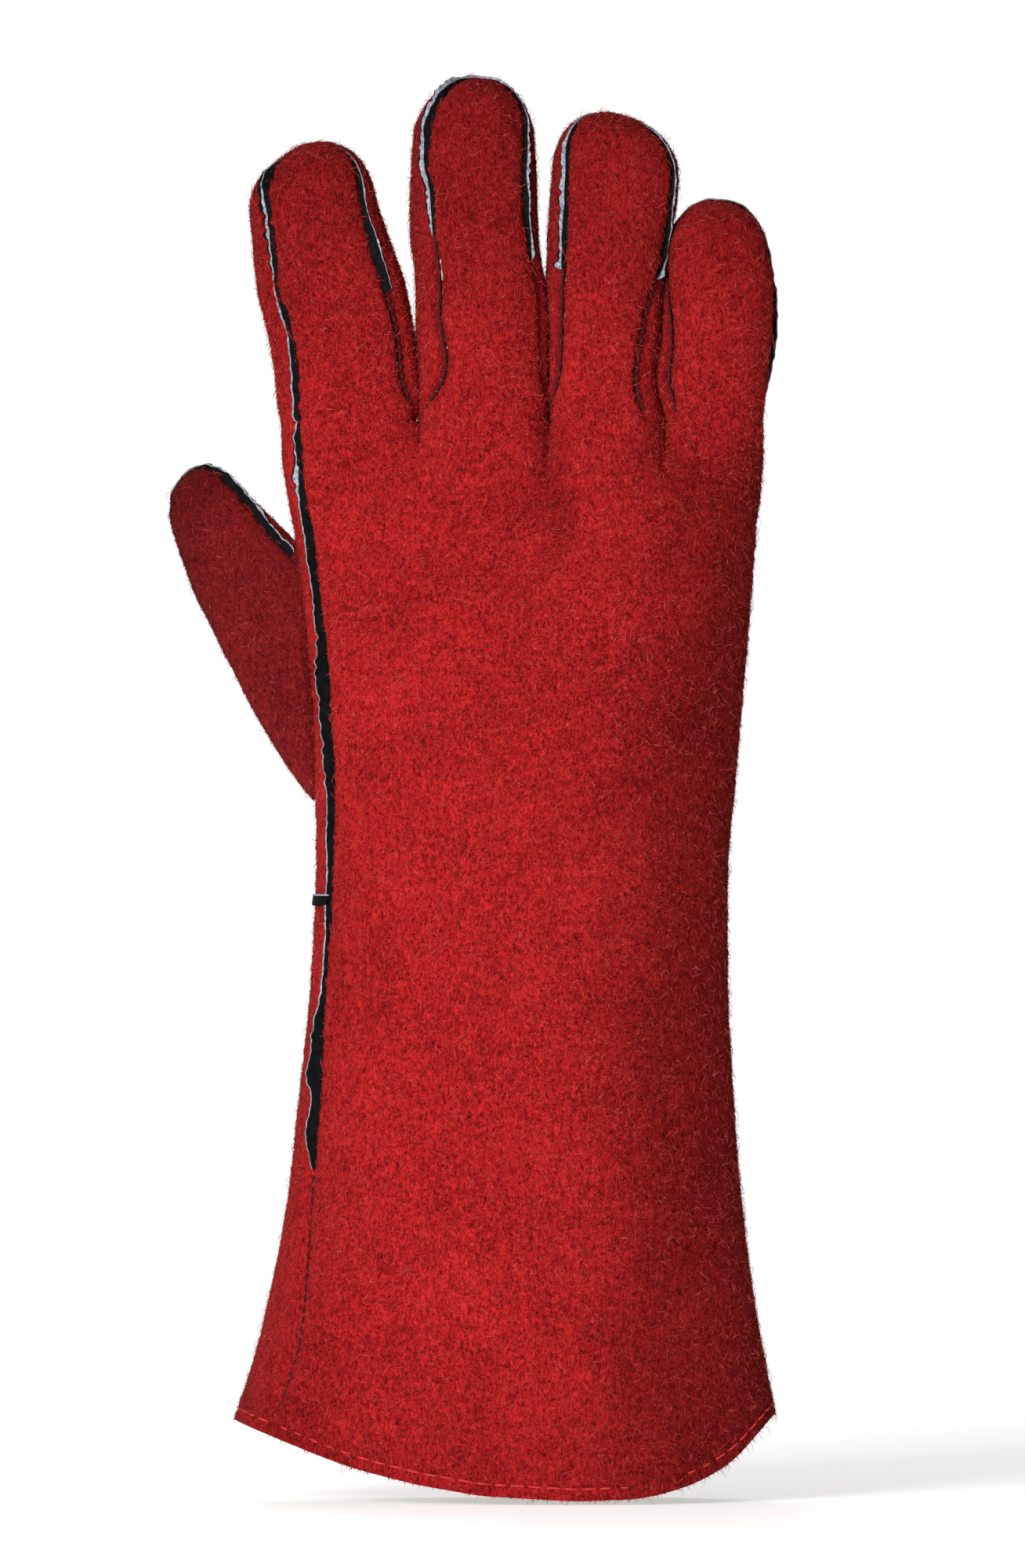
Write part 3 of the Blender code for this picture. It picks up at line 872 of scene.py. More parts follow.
def suede(name, dark, mid, bright):
    """Brushed split leather: mottled red under short pale and dark fibres, with painted shade in creases and by place.
    """
    finish = Finish(name, roughness=1.0, specular=0.05)
    finish.set_values(sheen_weight=0.12, sheen_roughness=0.5, sheen_tint=(1.0, 0.12, 0.10, 1.0))
    clouds = finish.noise(38.0, 3.0, 0.55)
    mottle = finish.noise(360.0, 4.0, 0.7, 0.8, (0.0, 0.35, 0.0), (0.6, 1.0, 1.5))
    grain = finish.noise(1700.0, 2.0, 0.7, 0.6)
    lying = finish.noise(1300.0, 1.0, 0.6, 1.5, (0.2, 0.5, 0.3), (1.0, 1.0, 0.30))
    crossing = finish.noise(1300.0, 1.0, 0.6, 1.5, (0.1, 1.9, 0.2), (1.0, 1.0, 0.30))
    fibres = finish.math("MAXIMUM", lying, crossing)
    tone = finish.product(clouds, 0.13)
    for part, weight in ((mottle, 0.19), (grain, 0.29), (fibres, 0.39)):
        tone = finish.math("ADD", tone, finish.product(part, weight))
    # Painted shade: the crease attribute darkens the colour in the seams' creases, and the place factor darkens it
    # where the form is shaded.
    crease = finish.add("Attribute", {}, attribute_name="crease").outputs["Fac"]
    shade = finish.math("SUBTRACT", 1.0, finish.product(crease, 0.75))
    colour = finish.colours(tone, (0.44, dark), (0.61, bright), (0.52, mid))
    finish.paint(colour, finish.product(painted_shade(finish), shade))
    relief = finish.math("ADD", finish.product(mottle, 0.5), finish.math("ADD", grain, fibres))
    finish.bump(relief, 0.9, 0.0005)
    return finish.material


def fibre(name, low, high, follow=1.0):
    """Loose fibres of the nap, which vary from one to the next and take on the painted shade by place more or less."""
    finish = Finish(name, roughness=1.0, specular=0.05)
    colour = finish.colours(finish.noise(900.0), (0.35, low), (0.65, high))
    # Painted shade: the fibres are darkened by place as the suede is.
    finish.paint(colour, finish.math("POWER", painted_shade(finish), follow))
    return finish.material


def cloth(
    name, low, high, scale, roughness, bump_distance, sheen=0.0, woven=False, specular=0.3, glow=0.0
):
    """A fine material between two colours, as grain or, if it is woven, as crossed threads."""
    finish = Finish(name, roughness, specular)
    finish.set_values(sheen_weight=sheen, emission_color=(1.0, 1.0, 1.0, 1.0), emission_strength=glow)
    if woven:
        inputs = {"Vector": finish.place, "Scale": scale, "Distortion": 1.5, "Detail": 1.0}
        threads = [
            finish.add("TexWave", inputs, bands_direction=direction).outputs["Fac"]
            for direction in ("X", "Z")
        ]
        height = finish.product(*threads)
    else:
        height = finish.noise(scale, 4.0)
    finish.paint(finish.colours(height, (0.3, low), (0.7, high)))
    finish.bump(height, 0.7, bump_distance)
    return finish.material


RED = suede("red_suede", (0.12, 0.003, 0.004), (0.32, 0.009, 0.011), (0.52, 0.021, 0.022))
DEEP_RED = suede("deep_red_suede", (0.08, 0.004, 0.005), (0.176, 0.008, 0.010), (0.27, 0.015, 0.016))
RED_NAP = fibre("red_nap", (0.14, 0.003, 0.005), (0.62, 0.034, 0.032))
DEEP_RED_NAP = fibre("deep_red_nap", (0.09, 0.004, 0.005), (0.33, 0.020, 0.020))
LONG_NAP = fibre("long_nap", (0.42, 0.018, 0.018), (0.84, 0.13, 0.10), 0.5)
BLACK = cloth(
    "black_vinyl", (0.001, 0.001, 0.001), (0.005, 0.005, 0.006), 500.0, 0.7, 0.0002, specular=0.06
)
EDGE = cloth("cut_edge", (0.10, 0.11, 0.14), (0.48, 0.50, 0.57), 1400.0, 0.8, 0.0002)
CANVAS = cloth("canvas", (0.50, 0.45, 0.35), (0.74, 0.69, 0.57), 900.0, 0.95, 0.0003, woven=True)
FLEECE = cloth("fleece", (0.55, 0.49, 0.38), (0.80, 0.75, 0.63), 500.0, 1.0, 0.0008, sheen=0.4)
THREAD = cloth("red_thread_finish", (0.34, 0.009, 0.011), (0.62, 0.035, 0.032), 2500.0, 0.8, 0.0001)
# Near-black thread, partly its own colour and partly painted shade in the seams that it lines.
THREAD_AND_SEAM_SHADE = cloth("dark_thread", (0.03, 0.002, 0.003), (0.10, 0.005, 0.006), 2500.0, 0.9, 0.0001)


# Where each body bends.


def on_palm(x, z):
    """A point on the palm, in metres."""
    return (x * MM, PALM * MM, z * MM)


WRIST_BEND = on_palm(0.0, WRIST - 20.0), on_palm(0.0, WRIST + 25.0)
FINGER_BEND = on_palm(0.0, KNUCKLES), on_palm(0.0, KNUCKLES + 24.0)
THUMB_BEND = on_palm(-46.0, 206.0), on_palm(-60.0, 216.0)


def ride_cuff(piece):
    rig.ride(piece, "cuff")


def bend_wrist(piece):
    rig.blend(piece, "cuff", "hand", start=WRIST_BEND[0], end=WRIST_BEND[1])


def bend_digit(name):
    """A function that bends a piece of this digit off the hand."""
    start, end = THUMB_BEND if name == "thumb" else FINGER_BEND
    return lambda piece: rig.blend(piece, "hand", name, start=start, end=end)


def scatter(grid, amount, random, bare):
    """Random places on a grid, with the normal at each. Few are where bare is near 1."""
    corners = grid[:-1, :-1], grid[:-1, 1:], grid[1:, :-1]
    areas = np.linalg.norm(np.cross(corners[1] - corners[0], corners[2] - corners[0]), axis=2)
    areas = (areas * (1 - 0.9 * bare[:-1, :-1])).ravel()
    cells = random.choice(len(areas), amount, p=areas / areas.sum())
    r, c = np.divmod(cells, grid.shape[1] - 1)
    u, v = random.random((2, amount, 1))
    points = mix(mix(grid[r, c], grid[r, c + 1], u), mix(grid[r + 1, c], grid[r + 1, c + 1], u), v)
    return points, normals_of(grid)[r, c]


def spread(vertices, pattern):
    """Vertices by fibre as one list, and the faces of all fibres from the faces of one."""
    count, each = vertices.shape[:2]
    faces = (np.array(pattern)[None] + each * np.arange(count)[:, None, None]).reshape(-1, 3)
    return vertices.reshape(-1, 3), faces.tolist()


def brushing(points, normals, random, spread_out):
    """Which way fibres lie: much like their neighbours, turning slowly from place to place."""
    turn = -1.1 + 1.3 * ripple(points, 75.0, 71)[:, None]
    lie = np.cos(turn) * np.array((1.0, 0.0, 0.0)) + np.sin(turn) * UP
    lie = lie + random.normal(size=points.shape) * spread_out
    return unit(lie - normals * (lie * normals).sum(axis=1, keepdims=True))


def nap(name, grid, density, seed, place, material=RED_NAP, crease=NO_CREASE, long_share=1.0):
    """The brushed surface over a grid: many short straight fibres, and a few long curved ones."""
    random = np.random.default_rng(seed)
    amount = amount_for(grid, density)
    bare = creases(grid, crease)
    point, normal = scatter(grid, amount, random, bare)
    lean = brushing(point, normal, random, 0.9)
    side = np.cross(normal, lean)
    size = random.uniform(0.6, 1.7, (amount, 1))
    tip = point + size * (lean + random.uniform(0.08, 0.45, (amount, 1)) * normal)
    point, thick = point - normal * 0.1, random.uniform(0.07, 0.15, (amount, 1))
    corners = [point - thick * side, point + thick * side, point + thick * 1.2 * normal, tip]
    vertices, faces = spread(np.stack(corners, axis=1), [(0, 1, 2), (0, 3, 1), (1, 3, 2), (2, 3, 0)])
    short = mesh_piece(name, vertices, faces, material)

    amount = amount_for(grid, density * 0.11 * long_share)
    # Most long fibres are on the right side of the glove.
    shorn = 0.7 * (1 - smoothstep(-5.0, 45.0, grid[..., 0]))
    point, normal = scatter(grid, amount, random, np.maximum(bare, shorn))
    lean = brushing(point, normal, random, 1.6)
    side = np.cross(normal, lean)
    size = random.uniform(1.3, 3.9, (amount, 1))
    curl = random.normal(0, 0.35, (amount, 1))
    lift = random.uniform(0.05, 0.3, (amount, 1))
    middle = point + size * (0.5 * lean + lift * normal + curl * 0.4 * side)
    tip = point + size * (0.95 * lean + lift * 1.1 * normal + curl * side)
    thick = random.uniform(0.045, 0.08, (amount, 1))
    corners = []
    for centre, scale in ((point - normal * 0.15, 1.0), (middle, 0.8)):
        for turn in (0.0, 2.1, 4.2):
            corners.append(centre + thick * scale * (math.cos(turn) * side + math.sin(turn) * normal))
    vertices = np.stack([*corners, tip], axis=1)
    # Each long fibre has a ring of three vertices at its root, one at its middle, and a tip.
    pattern = [(0, 2, 1)]
    for a, b in ((0, 1), (1, 2), (2, 0)):
        pattern += [(a, b, b + 3), (a, b + 3, a + 3), (a + 3, b + 3, 6)]
    long = mesh_piece(f"{name}_long", *spread(vertices, pattern), LONG_NAP)
    for piece in (short, long):
        settle(piece, "red_split_leather", place)


def amount_for(grid, density):
    edge, up = grid[:-1, 1:] - grid[:-1, :-1], grid[1:, :-1] - grid[:-1, :-1]
    area = np.linalg.norm(np.cross(edge, up), axis=2).sum()
    return max(50, int(area * density * (0.1 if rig.quick() else 1.0)))


# Stitches: pitch, length and radius of the thread.
HEM_STITCH = (4.4, 3.5, 0.28)
ROOT_STITCH = (4.0, 3.0, 0.28)
# Crease stitches run almost end to end, so that they read as a painted shade line in the crease as well as thread.
CREASE_STITCH = (2.4, 2.25, 0.42)
SIDE_STITCH = (2.7, 2.3, 0.24)


def stitches(name, path, normals, size, material, place, *nodes):
    """Separate stitches along a path, each a closed thread that dives into the leather at both ends."""
    pitch, length, radius = size
    run = run_along(path)
    sides, rings = 6, 6
    vertices, faces = [], []
    for start in np.arange(pitch / 2, run[-1] - length, pitch):
        first = len(vertices)
        for i, share in enumerate(np.linspace(0.0, 1.0, rings)):
            at = start + share * length
            point, normal = (
                np.array([np.interp(at, run, field[:, axis]) for axis in range(3)])
                for field in (path, normals)
            )
            ahead = np.array([np.interp(at + 0.2, run, path[:, axis]) for axis in range(3)])
            side = unit(np.cross(normal, ahead - point))
            arch = math.sin(math.pi * share)
            centre = point + normal * radius * (1.5 * arch**0.5 - 1.1)
            thick = radius * (0.55 + 0.45 * arch)
            for j in range(sides):
                turn = 2 * math.pi * j / sides
                vertices.append(centre + thick * (math.cos(turn) * side + math.sin(turn) * unit(normal)))
            if i:
                for j in range(sides):
                    a, b = first + (i - 1) * sides + j, first + (i - 1) * sides + (j + 1) % sides
                    faces.append((a, b, b + sides, a + sides))
        faces.append(tuple(range(first, first + sides))[::-1])
        faces.append(tuple(range(first + (rings - 1) * sides, first + rings * sides)))
    settle(mesh_piece(name, vertices, faces, material, STITCH_SHARP), "red_thread", place, *nodes)


def strip(name, path, outward, flat_normal, inner, outer, thickness, material):
    """A closed strip along a path, from inner to outer along outward, thick along flat_normal."""
    across = np.linspace(0.0, 1.0, 4)
    reach = inner[:, None] + (outer - inner)[:, None] * across
    top = path[:, None] + outward[:, None] * reach[..., None]
    # The strip must face the way that its normal says.
    facing = np.cross(top[:, 1] - top[:, 0], np.gradient(path, axis=0))
    if (facing * flat_normal).sum() < 0:
        top = top[:, ::-1]
    return sheet(name, top, top - flat_normal[:, None] * thickness, material)


# Radius of a welt's cut ends.
END_RADIUS = 1.6


def rounded_ends(path, width):
    """A strip's width, drawn in over its last millimetres as a cut end is."""
    run = run_along(path)
    nearest = np.minimum(run, run[-1] - run)
    return width * np.sqrt(1 - (1 - np.clip(nearest / END_RADIUS, 0.0, 1.0)) ** 2 * 0.9)


def welt(name, path, outward, place, widths, seed, *nodes):
    """A vinyl strip folded round a pale cloth and sewn into a seam, whose cut edge shows as a pale line.

    widths holds (share of the path, proud width of the black face, width of the cloth beyond it, and
    width of the black back beyond that).
    """
    keys, *columns = zip(*widths)
    along = np.linspace(0.0, 1.0, len(path))
    black, pale, behind = (curve_through(keys, column)(along) for column in columns)
    outward = unit(outward)
    flat = unit(np.cross(outward, np.gradient(path, axis=0)))
    flat = np.where((flat @ BACKWARD)[:, None] < 0, -flat, flat)
    lifted = path + flat * (0.25 * ripple(path, 14.0, seed + 2))[:, None]
    tuck = np.full(len(path), -1.0)
    wave = 1 + 0.12 * ripple(path, 11.0, seed) + 0.10 * ripple(path, 2.6, seed + 1)
    reach = rounded_ends(path, np.maximum(black, 0.05) * wave)
    face = strip(name, lifted, outward, flat, tuck, reach, 0.45, BLACK)
    settle(face, "black_vinyl_welt", place, *nodes)
    wave = 1 + 0.25 * ripple(path, 8.0, seed + 3) + 0.3 * ripple(path, 1.6, seed + 4)
    reach = reach + rounded_ends(path, np.maximum(pale, 0.05) * wave)
    edge = strip(f"{name}_cut_edge", lifted - flat * 0.46, outward, flat, tuck, reach, 0.4, EDGE)
    settle(edge, "black_vinyl_welt", place)
    wave = 1 + 0.5 * ripple(path, 3.0, seed + 5)
    reach = reach + rounded_ends(path, np.maximum(behind * wave, 0.0)) - 0.05
    back = strip(f"{name}_back", lifted - flat * 0.87, outward, flat, tuck, reach, 0.4, BLACK)
    settle(back, "black_vinyl_welt", place)


# The pieces.

# Half the gap between cuff and palm at the wrist.
SEAM_GAP = 0.4

# Short fibres per square millimetre, where the glove is seen most and elsewhere.
THICK_NAP = 2.4
THIN_NAP = 1.0


def make_gauntlet():
    step = 1.8
    grid = gauntlet_grid(False, spaced(0.0, KNUCKLES, step))
    back, outer = leather("back_leather", grid, RED)
    settle(back, "red_split_leather", bend_wrist, "cuff_back", "hand_back")
    grid = gauntlet_grid(True, spaced(0.0, WRIST - SEAM_GAP, step), PALM_COLUMNS)
    cuff, cuff_outer = leather("cuff_front_leather", grid, RED)
    settle(cuff, "red_split_leather", bend_wrist, "cuff_front")
    grid = gauntlet_grid(True, spaced(WRIST + SEAM_GAP, KNUCKLES, step), PALM_COLUMNS)
    palm, palm_outer = leather("palm_leather", grid, RED)
    settle(palm, "red_split_leather", bend_wrist, "palm")
    # The nap of the long back is three pieces, which keeps each one's mesh small.
    row = len(outer) // 3
    for i, part in enumerate((outer[: row + 1], outer[row: 2 * row + 1], outer[2 * row:])):
        nap(f"back_nap_{i + 1}", part, THICK_NAP, 10 + i, bend_wrist)
    nap("cuff_front_nap", cuff_outer, THIN_NAP, 20, bend_wrist)
    nap("palm_nap", palm_outer, THIN_NAP, 21, bend_wrist)


def make_linings():
    angles = np.linspace(360.0, 0.0, 73)[:-1]
    heights = spaced(0.8, KNUCKLES - DOME_REACH, 4.0)
    hem = hem_height(angles)
    grid = np.array([gauntlet(h + hem * (1 - smoothstep(0.0, HEM_REACH, h)), angles) for h in heights])
    normals = normals_of(grid, closed=True)
    split = int(np.searchsorted(heights, WRIST))
    for name, part, material, slot, node in (
        ("cuff_lining_cloth", slice(0, split + 1), CANVAS, "canvas_lining", "cuff_lining"),
        ("hand_lining_cloth", slice(split, None), FLEECE, "fleece_lining", "hand_lining"),
    ):
        face = grid[part] - normals[part] * LINING_INSET
        piece = sheet(name, face, face - normals[part] * LINING, material, closed=True)
        settle(piece, slot, bend_wrist, node)


def digit_grid(digit, shares, first, last, columns):
    """Points on a digit between two angles, which are functions of v or numbers."""
    across = np.linspace(0.0, 1.0, columns)
    rows = []
    for v in shares:
        start = first(v) if callable(first) else first
        end = last(v) if callable(last) else last
        rows.append(digit.surface(v, mix(start, end, across)))
    return np.array(rows)


def make_digit(name):
    digit = DIGITS[name]
    place = bend_digit(name)
    shares = np.linspace(-ROOT_SHARE if digit.root else 0.0, 1.0, int(digit.length / 1.4))
    # First and last angle, columns and depth of the rolled edges of each panel.
    panels = {
        "back": (lambda v: back_seams(digit, v)[0], lambda v: back_seams(digit, v)[1], COLUMNS + 1, 1.1),
        "far": (lambda v: back_seams(digit, v)[1], -PALM_SEAM, 12, 0.9),
        "front": (-PALM_SEAM, PALM_SEAM - 180.0, 20, 0.7),
        "near": (PALM_SEAM - 180.0, lambda v: back_seams(digit, v)[0] - 360.0, 12, 0.9),
    }
    walls = ("lower_wall", "upper_wall") if name == "thumb" else ("thumb_side_wall", "far_side_wall")
    nodes = {"back": "back", "front": "front", "near": walls[0], "far": walls[1]}
    left, right = OPEN_SEAMS[name]
    crease = {
        "back": (left, right),
        "far": (right, OPEN_PALM_SEAM),
        "front": (OPEN_PALM_SEAM, OPEN_PALM_SEAM),
        "near": (OPEN_PALM_SEAM, left),
    }
    for side, (first, last, columns, roll) in panels.items():
        grid = digit_grid(digit, shares, first, last, columns)
        deep = name == "thumb" and side in ("back", "far")
        hide = DEEP_RED if deep else RED
        piece, outer = leather(f"{name}_{side}_leather", grid, hide, roll, crease[side])
        settle(piece, "red_split_leather", place, f"{name}_{nodes[side]}")
        fur = DEEP_RED_NAP if deep else RED_NAP
        density = THIN_NAP if side == "front" else THICK_NAP
        seed = len(name) * 7 + columns
        long_share = 0.3 if name == "thumb" else 1.0
        nap(f"{name}_{side}_nap", outer, density, seed, place, fur, crease[side], long_share)
        if digit.root and side == "front":
            path, normals = outer[ROOT_STITCH_ROW], normals_of(outer)[ROOT_STITCH_ROW]
            stitches("thumb_root_stitches", path + normals * 0.1, normals, ROOT_STITCH, THREAD, place)
    angles = np.linspace(360.0, 0.0, 41)[:-1]
    grid = np.array([digit.surface(v, angles) for v in np.linspace(0.0, 0.97, 24)])
    normals = normals_of(grid, closed=True)
    face = grid - normals * LINING_INSET
    lining = sheet(f"{name}_lining_cloth", face, face - normals * LINING, FLEECE, closed=True)
    settle(lining, "fleece_lining", place, f"{name}_lining")


def seam_path(digit, side, shares):
    """Points along a digit's left (0) or right (1) back seam, and the normals there."""
    path, normals = [], []
    for v in shares:
        angle = back_seams(digit, v)[side]
        shares_near = np.array([v - 0.01, v, v + 0.01])[:, None]
        here = digit.surface(shares_near, angle + np.array([1.0, 0.0, -1.0]))
        path.append(here[1, 1])
        normals.append(normals_of(here)[1, 1])
    return np.array(path), np.array(normals)


def flat_outward(path, centre):
    """Normals of a path in the XZ plane, away from the centre."""
    along = np.gradient(path, axis=0)
    away = unit(np.stack([along[:, 2], np.zeros(len(path)), -along[:, 0]], axis=-1))
    return np.where(((path - centre) * away).sum(axis=1, keepdims=True) < 0, -away, away)


# How deep a welt's path lies under the leather's surface.
WELT_TUCK = 0.45

# Where each digit's welt begins on its left seam and ends on its right seam, by share of its length, and
# its widths along the way: (share of the welt, black face, pale edge, black back).
WELTS = {
    "index": (0.0, 0.42, (
        (0, 1.3, 0.30, 0.0), (0.2, 1.1, 0.35, 0.1), (0.35, 0.9, 0.42, 0.4), (0.47, 0.8, 0.5, 0.7),
        (0.52, 1.6, 0.2, 0.4), (0.56, 0.5, 0.1, 0.1), (0.68, 0.2, 0.1, 0.1), (0.75, 0.5, 0.3, 0.1),
        (0.85, 0.8, 0.3, 0.0), (0.93, 1.3, 0.25, 0.0), (1, 1.6, 0.1, 0.0),
    )),
    "middle": (0.49, 0.45, (
        (0, 0.1, 0.5, 0.2), (0.1, 0.7, 0.8, 0.4), (0.22, 1.3, 0.9, 0.2), (0.33, 1.6, 0.8, 0.3),
        (0.45, 0.8, 0.9, 0.0), (0.55, 0.7, 0.3, 0.0), (0.66, 0.7, 0.4, 0.0), (0.75, 0.6, 0.7, 0.1),
        (0.85, 0.7, 0.4, 0.2), (0.95, 0.6, 0.4, 0.2), (1, 0.2, 0.7, 0.2),
    )),
    "ring": (0.44, 0.43, (
        (0, 0.2, 1.6, 0.5), (0.06, 0.5, 0.9, 0.3), (0.2, 0.6, 0.9, 0.2), (0.33, 0.5, 0.7, 0.1),
        (0.42, 0.6, 0.4, 0.0), (0.55, 0.5, 0.1, 0.0), (0.68, 0.8, 0.4, 0.1), (0.85, 1.1, 0.35, 0.1),
        (0.95, 1.1, 0.3, 0.0), (1, 0.2, 1.1, 0.1),
    )),
    "little": (0.74, 0.10, (
        (0, 0.9, 0.1, 0.1), (0.25, 1.0, 0.1, 0.1), (0.4, 0.7, 0.1, 0.1), (0.6, 1.1, 0.1, 0.1),
        (0.8, 1.5, 0.1, 0.1), (1, 0.5, 0.1, 0.1),
    )),
    "thumb": (0.88, 0.03, (
        (0, 0.9, 0.1, 0.1), (0.2, 1.2, 0.2, 0.1), (0.4, 1.9, 0.3, 0.0), (0.8, 1.6, 0.35, 0.0),
        (1, 1.4, 0.35, 0.0),
    )),
}


def make_digit_welt(name):
    digit = DIGITS[name]
    begin, end, widths = WELTS[name]
    left, left_normals = seam_path(digit, 0, spaced(begin, 0.985, 0.6 / digit.length))
    right, right_normals = seam_path(digit, 1, spaced(0.985, end, 0.6 / digit.length))
    path = np.concatenate([left, right])
    normals = np.concatenate([left_normals, right_normals])
    outward = flat_outward(path, digit.surface(0.3, 90.0)) + 0.15 * BACKWARD
    path = path - normals * WELT_TUCK
    seed = len(name) * 3
    welt(f"{name}_welt_strip", path, outward, bend_digit(name), widths, seed, f"{name}_welt")


def gauntlet_seam(heights):
    """Points and normals along the thumb-side seam of the hand and cuff."""
    grid = gauntlet_grid(False, heights)
    return grid[:, 0], normals_of(grid)[:, 0]


# Height of the lower end of the long side welt, and its widths from there up to the index finger.
SIDE_WELT_START = 82.0
SIDE_WELT = (
    (0, 0.2, 0.1, 0), (0.02, 1.2, 0.12, 0), (0.06, 2.0, 0.15, 0), (0.1, 1.5, 0.2, 0),
    (0.13, 2.9, 0.12, 0), (0.18, 2.9, 0.18, 0), (0.22, 1.7, 0.22, 0), (0.27, 0.8, 0.28, 0),
    (0.36, 0.9, 0.28, 0), (0.48, 1.3, 0.18, 0), (0.6, 2.4, 0.12, 0), (0.7, 2.8, 0.12, 0),
    (0.78, 1.6, 0.15, 0), (0.86, 1.3, 0.22, 0), (0.93, 1.1, 0.35, 0), (0.97, 0.8, 0.9, 0.3),
    (1, 0.3, 1.0, 0.3),
)


def make_side_welt():
    path, normals = gauntlet_seam(spaced(SIDE_WELT_START, KNUCKLES - 8, 0.7))
    outward = np.array((-1.0, -0.18, 0.0))[None] + 0 * path
    path = path - normals * WELT_TUCK
    welt(
        "side_welt_strip", path, outward, bend_wrist, SIDE_WELT, 40, "hand_side_welt", "cuff_side_welt"
    )


def make_upper_side_welt():
    """The strip of the index finger goes on below the knuckles, under the end of the next one."""
    path, normals = gauntlet_seam(spaced(KNUCKLES - 13, KNUCKLES + 0.5, 0.7))
    outward = np.array((-1.0, -0.1, 0.0))[None] + 0 * path
    widths = ((0, 0.9, 0.2, 0.2), (0.5, 1.5, 0.3, 0.2), (1, 1.3, 0.35, 0.0))
    welt("overlap_welt_strip", path - normals * 0.6, outward, bend_wrist, widths, 50)


def make_wrist_welt():
    """The welt of the palm's cross seam, folded down flat on the cuff, with its pale edge on top."""
    grid = gauntlet_grid(True, [WRIST - 1.0, WRIST, WRIST + 1.0], PALM_COLUMNS)
    path, normals = grid[1] - UP * 0.4, normals_of(grid)[1]
    down = np.broadcast_to(-UP, path.shape) + 0.12 * normals
    wave = 1 + 0.12 * ripple(path, 6.0, 61)
    bare = np.zeros(len(path))
    face = strip(
        "wrist_welt_strip", path + normals * 0.75, down, normals, bare - 0.3, 1.9 * wave, 0.55, BLACK
    )
    edge = strip(
        "wrist_welt_cut_edge", path + normals * 0.8, down, normals, bare - 0.7, bare - 0.3, 0.6, EDGE
    )
    settle(face, "black_vinyl_welt", bend_wrist, "wrist_welt")
    settle(edge, "black_vinyl_welt", bend_wrist)


def make_hem_stitches():
    """A row of stitches 3 mm in from the hem, on the back and on the front."""
    for side, columns, nodes in (("back", COLUMNS, ["hem_thread"]), ("front", PALM_COLUMNS, [])):
        grid = gauntlet_grid(side == "front", [2.0, 3.0, 4.0], columns)
        path, normals = grid[1], normals_of(grid)[1]
        path = path + normals * 0.1
        stitches(f"hem_stitches_{side}", path, normals, HEM_STITCH, THREAD, ride_cuff, *nodes)


def make_seam_stitches():
    """Dark stitches along the creases where no welt is sewn in, set almost end to end: partly real thread, partly a
    painted shade line in the crease.
    """
    for name, side, low, high in (
        ("index", 1, 0.06, 0.42), ("middle", 0, 0.05, 0.50), ("ring", 0, 0.05, 0.45),
        ("ring", 1, 0.02, 0.43), ("little", 0, 0.02, 0.72), ("thumb", 1, -0.1, 0.05),
    ):
        digit = DIGITS[name]
        path, normals = seam_path(digit, side, spaced(low, high, 1.0 / digit.length))
        path = path - normals * 0.62
        label = ("left", "right")[side]
        stitches(f"{name}_{label}_stitches", path, normals, CREASE_STITCH, THREAD_AND_SEAM_SHADE, bend_digit(name))
    path, normals = gauntlet_seam(spaced(6.0, SIDE_WELT_START - 1.0, 1.2))
    path = path - normals * 0.6
    stitches("side_seam_stitches", path, normals, SIDE_STITCH, THREAD_AND_SEAM_SHADE, ride_cuff)


# The camera's distance and height of view, as a share of the glove's height; and the floor's radius.
CAMERA_DISTANCE = 5.0
VIEW_SHARE = 1.1031
FLOOR_RADIUS = 700.0

# Area lights: name, place in metres, power in watts and width in metres.
LIGHTS = (
    ("key_light", (-0.7, -1.75, 0.5), 41.0, 0.55),
    ("fill_light", (0.2, -1.9, 0.3), 3.0, 1.2),
    ("back_light", (-0.3, 1.6, 1.0), 10.0, 1.2),
)


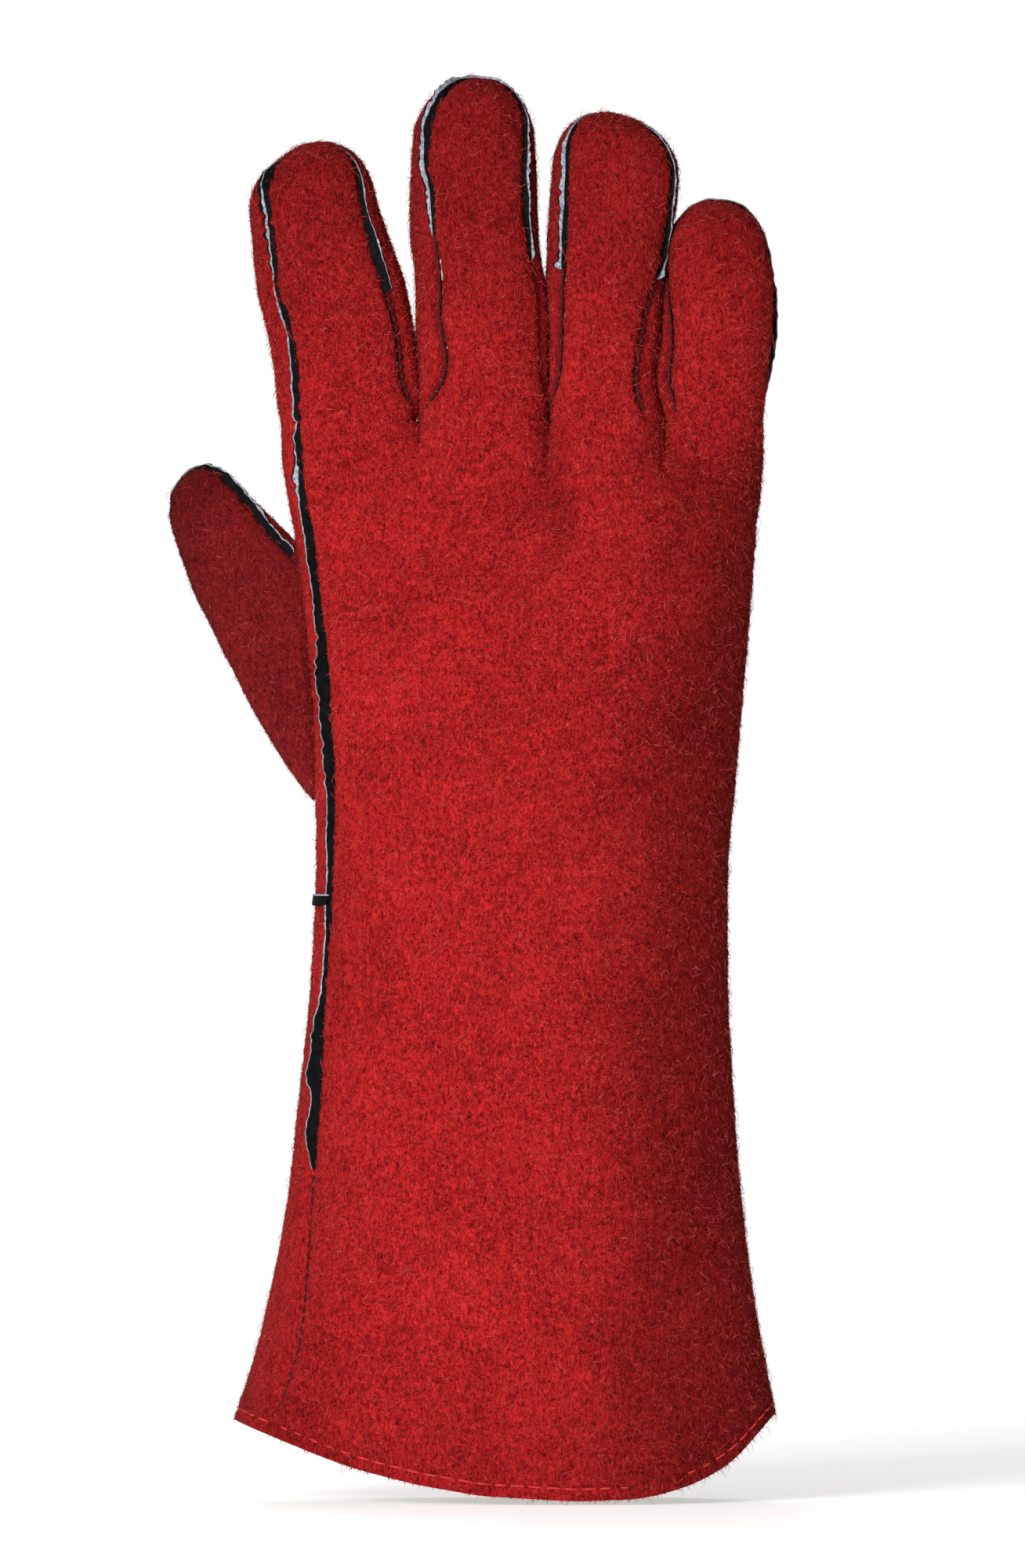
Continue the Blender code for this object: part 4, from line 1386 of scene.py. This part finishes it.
def make_studio():
    box = np.array(CAD_BOX)
    middle, size = box.mean(axis=0), box[1] - box[0]
    camera = bpy.data.cameras.new("camera")
    camera.sensor_width = 36.0
    # The view fits at the depth of the glove's widest lines.
    view_height = size[2] * VIEW_SHARE
    camera.lens = camera.sensor_width * (CAMERA_DISTANCE + DIGIT_MID_Y * MM) / view_height
    camera_object = bpy.data.objects.new("camera", camera)
    camera_object.location = (0.0016, -CAMERA_DISTANCE, middle[2] + 0.0001)
    camera_object.rotation_euler = (math.pi / 2, 0.0, 0.0)
    bpy.context.scene.collection.objects.link(camera_object)
    bpy.context.scene.camera = camera_object

    for name, place, power, width in LIGHTS:
        light = bpy.data.lights.new(name, "AREA")
        light.energy, light.size = power, width
        lamp = bpy.data.objects.new(name, light)
        lamp.location = place
        aim = Vector(middle) - Vector(place)
        lamp.rotation_euler = aim.to_track_quat("-Z", "Y").to_euler()
        bpy.context.scene.collection.objects.link(lamp)

    world = bpy.data.worlds.new("studio")
    bpy.context.scene.world = world
    world.use_nodes = True
    nodes, links = world.node_tree.nodes, world.node_tree.links
    background = nodes["Background"]
    background.inputs["Color"].default_value = (1.0, 1.0, 1.0, 1.0)
    path = nodes.new("ShaderNodeLightPath")
    strength = nodes.new("ShaderNodeMapRange")
    strength.inputs["To Min"].default_value = 0.24
    strength.inputs["To Max"].default_value = 1.0
    links.new(path.outputs["Is Camera Ray"], strength.inputs["Value"])
    links.new(strength.outputs["Result"], background.inputs["Strength"])

    turns = np.linspace(0.0, 2 * math.pi, 48, endpoint=False)
    rim = np.stack([FLOOR_RADIUS * np.cos(turns), FLOOR_RADIUS * np.sin(turns), 0 * turns - 1.0], axis=1)
    pale = cloth("pale_floor", (0.90, 0.90, 0.90), (0.92, 0.92, 0.92), 20.0, 0.9, 0.00001, glow=0.45)
    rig.stage(mesh_piece("floor", rim, [tuple(range(len(rim)))], pale))
    bpy.context.scene.view_settings.view_transform = "Standard"


make_studio()
make_gauntlet()
make_linings()
for digit_name in DIGITS:
    make_digit(digit_name)
    make_digit_welt(digit_name)
make_side_welt()
make_upper_side_welt()
make_wrist_welt()
make_hem_stitches()
make_seam_stitches()

with open("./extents.json", "w") as out:
    json.dump({"cad": CAD_BOX, "visual": [list(corner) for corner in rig.bounds()]}, out)
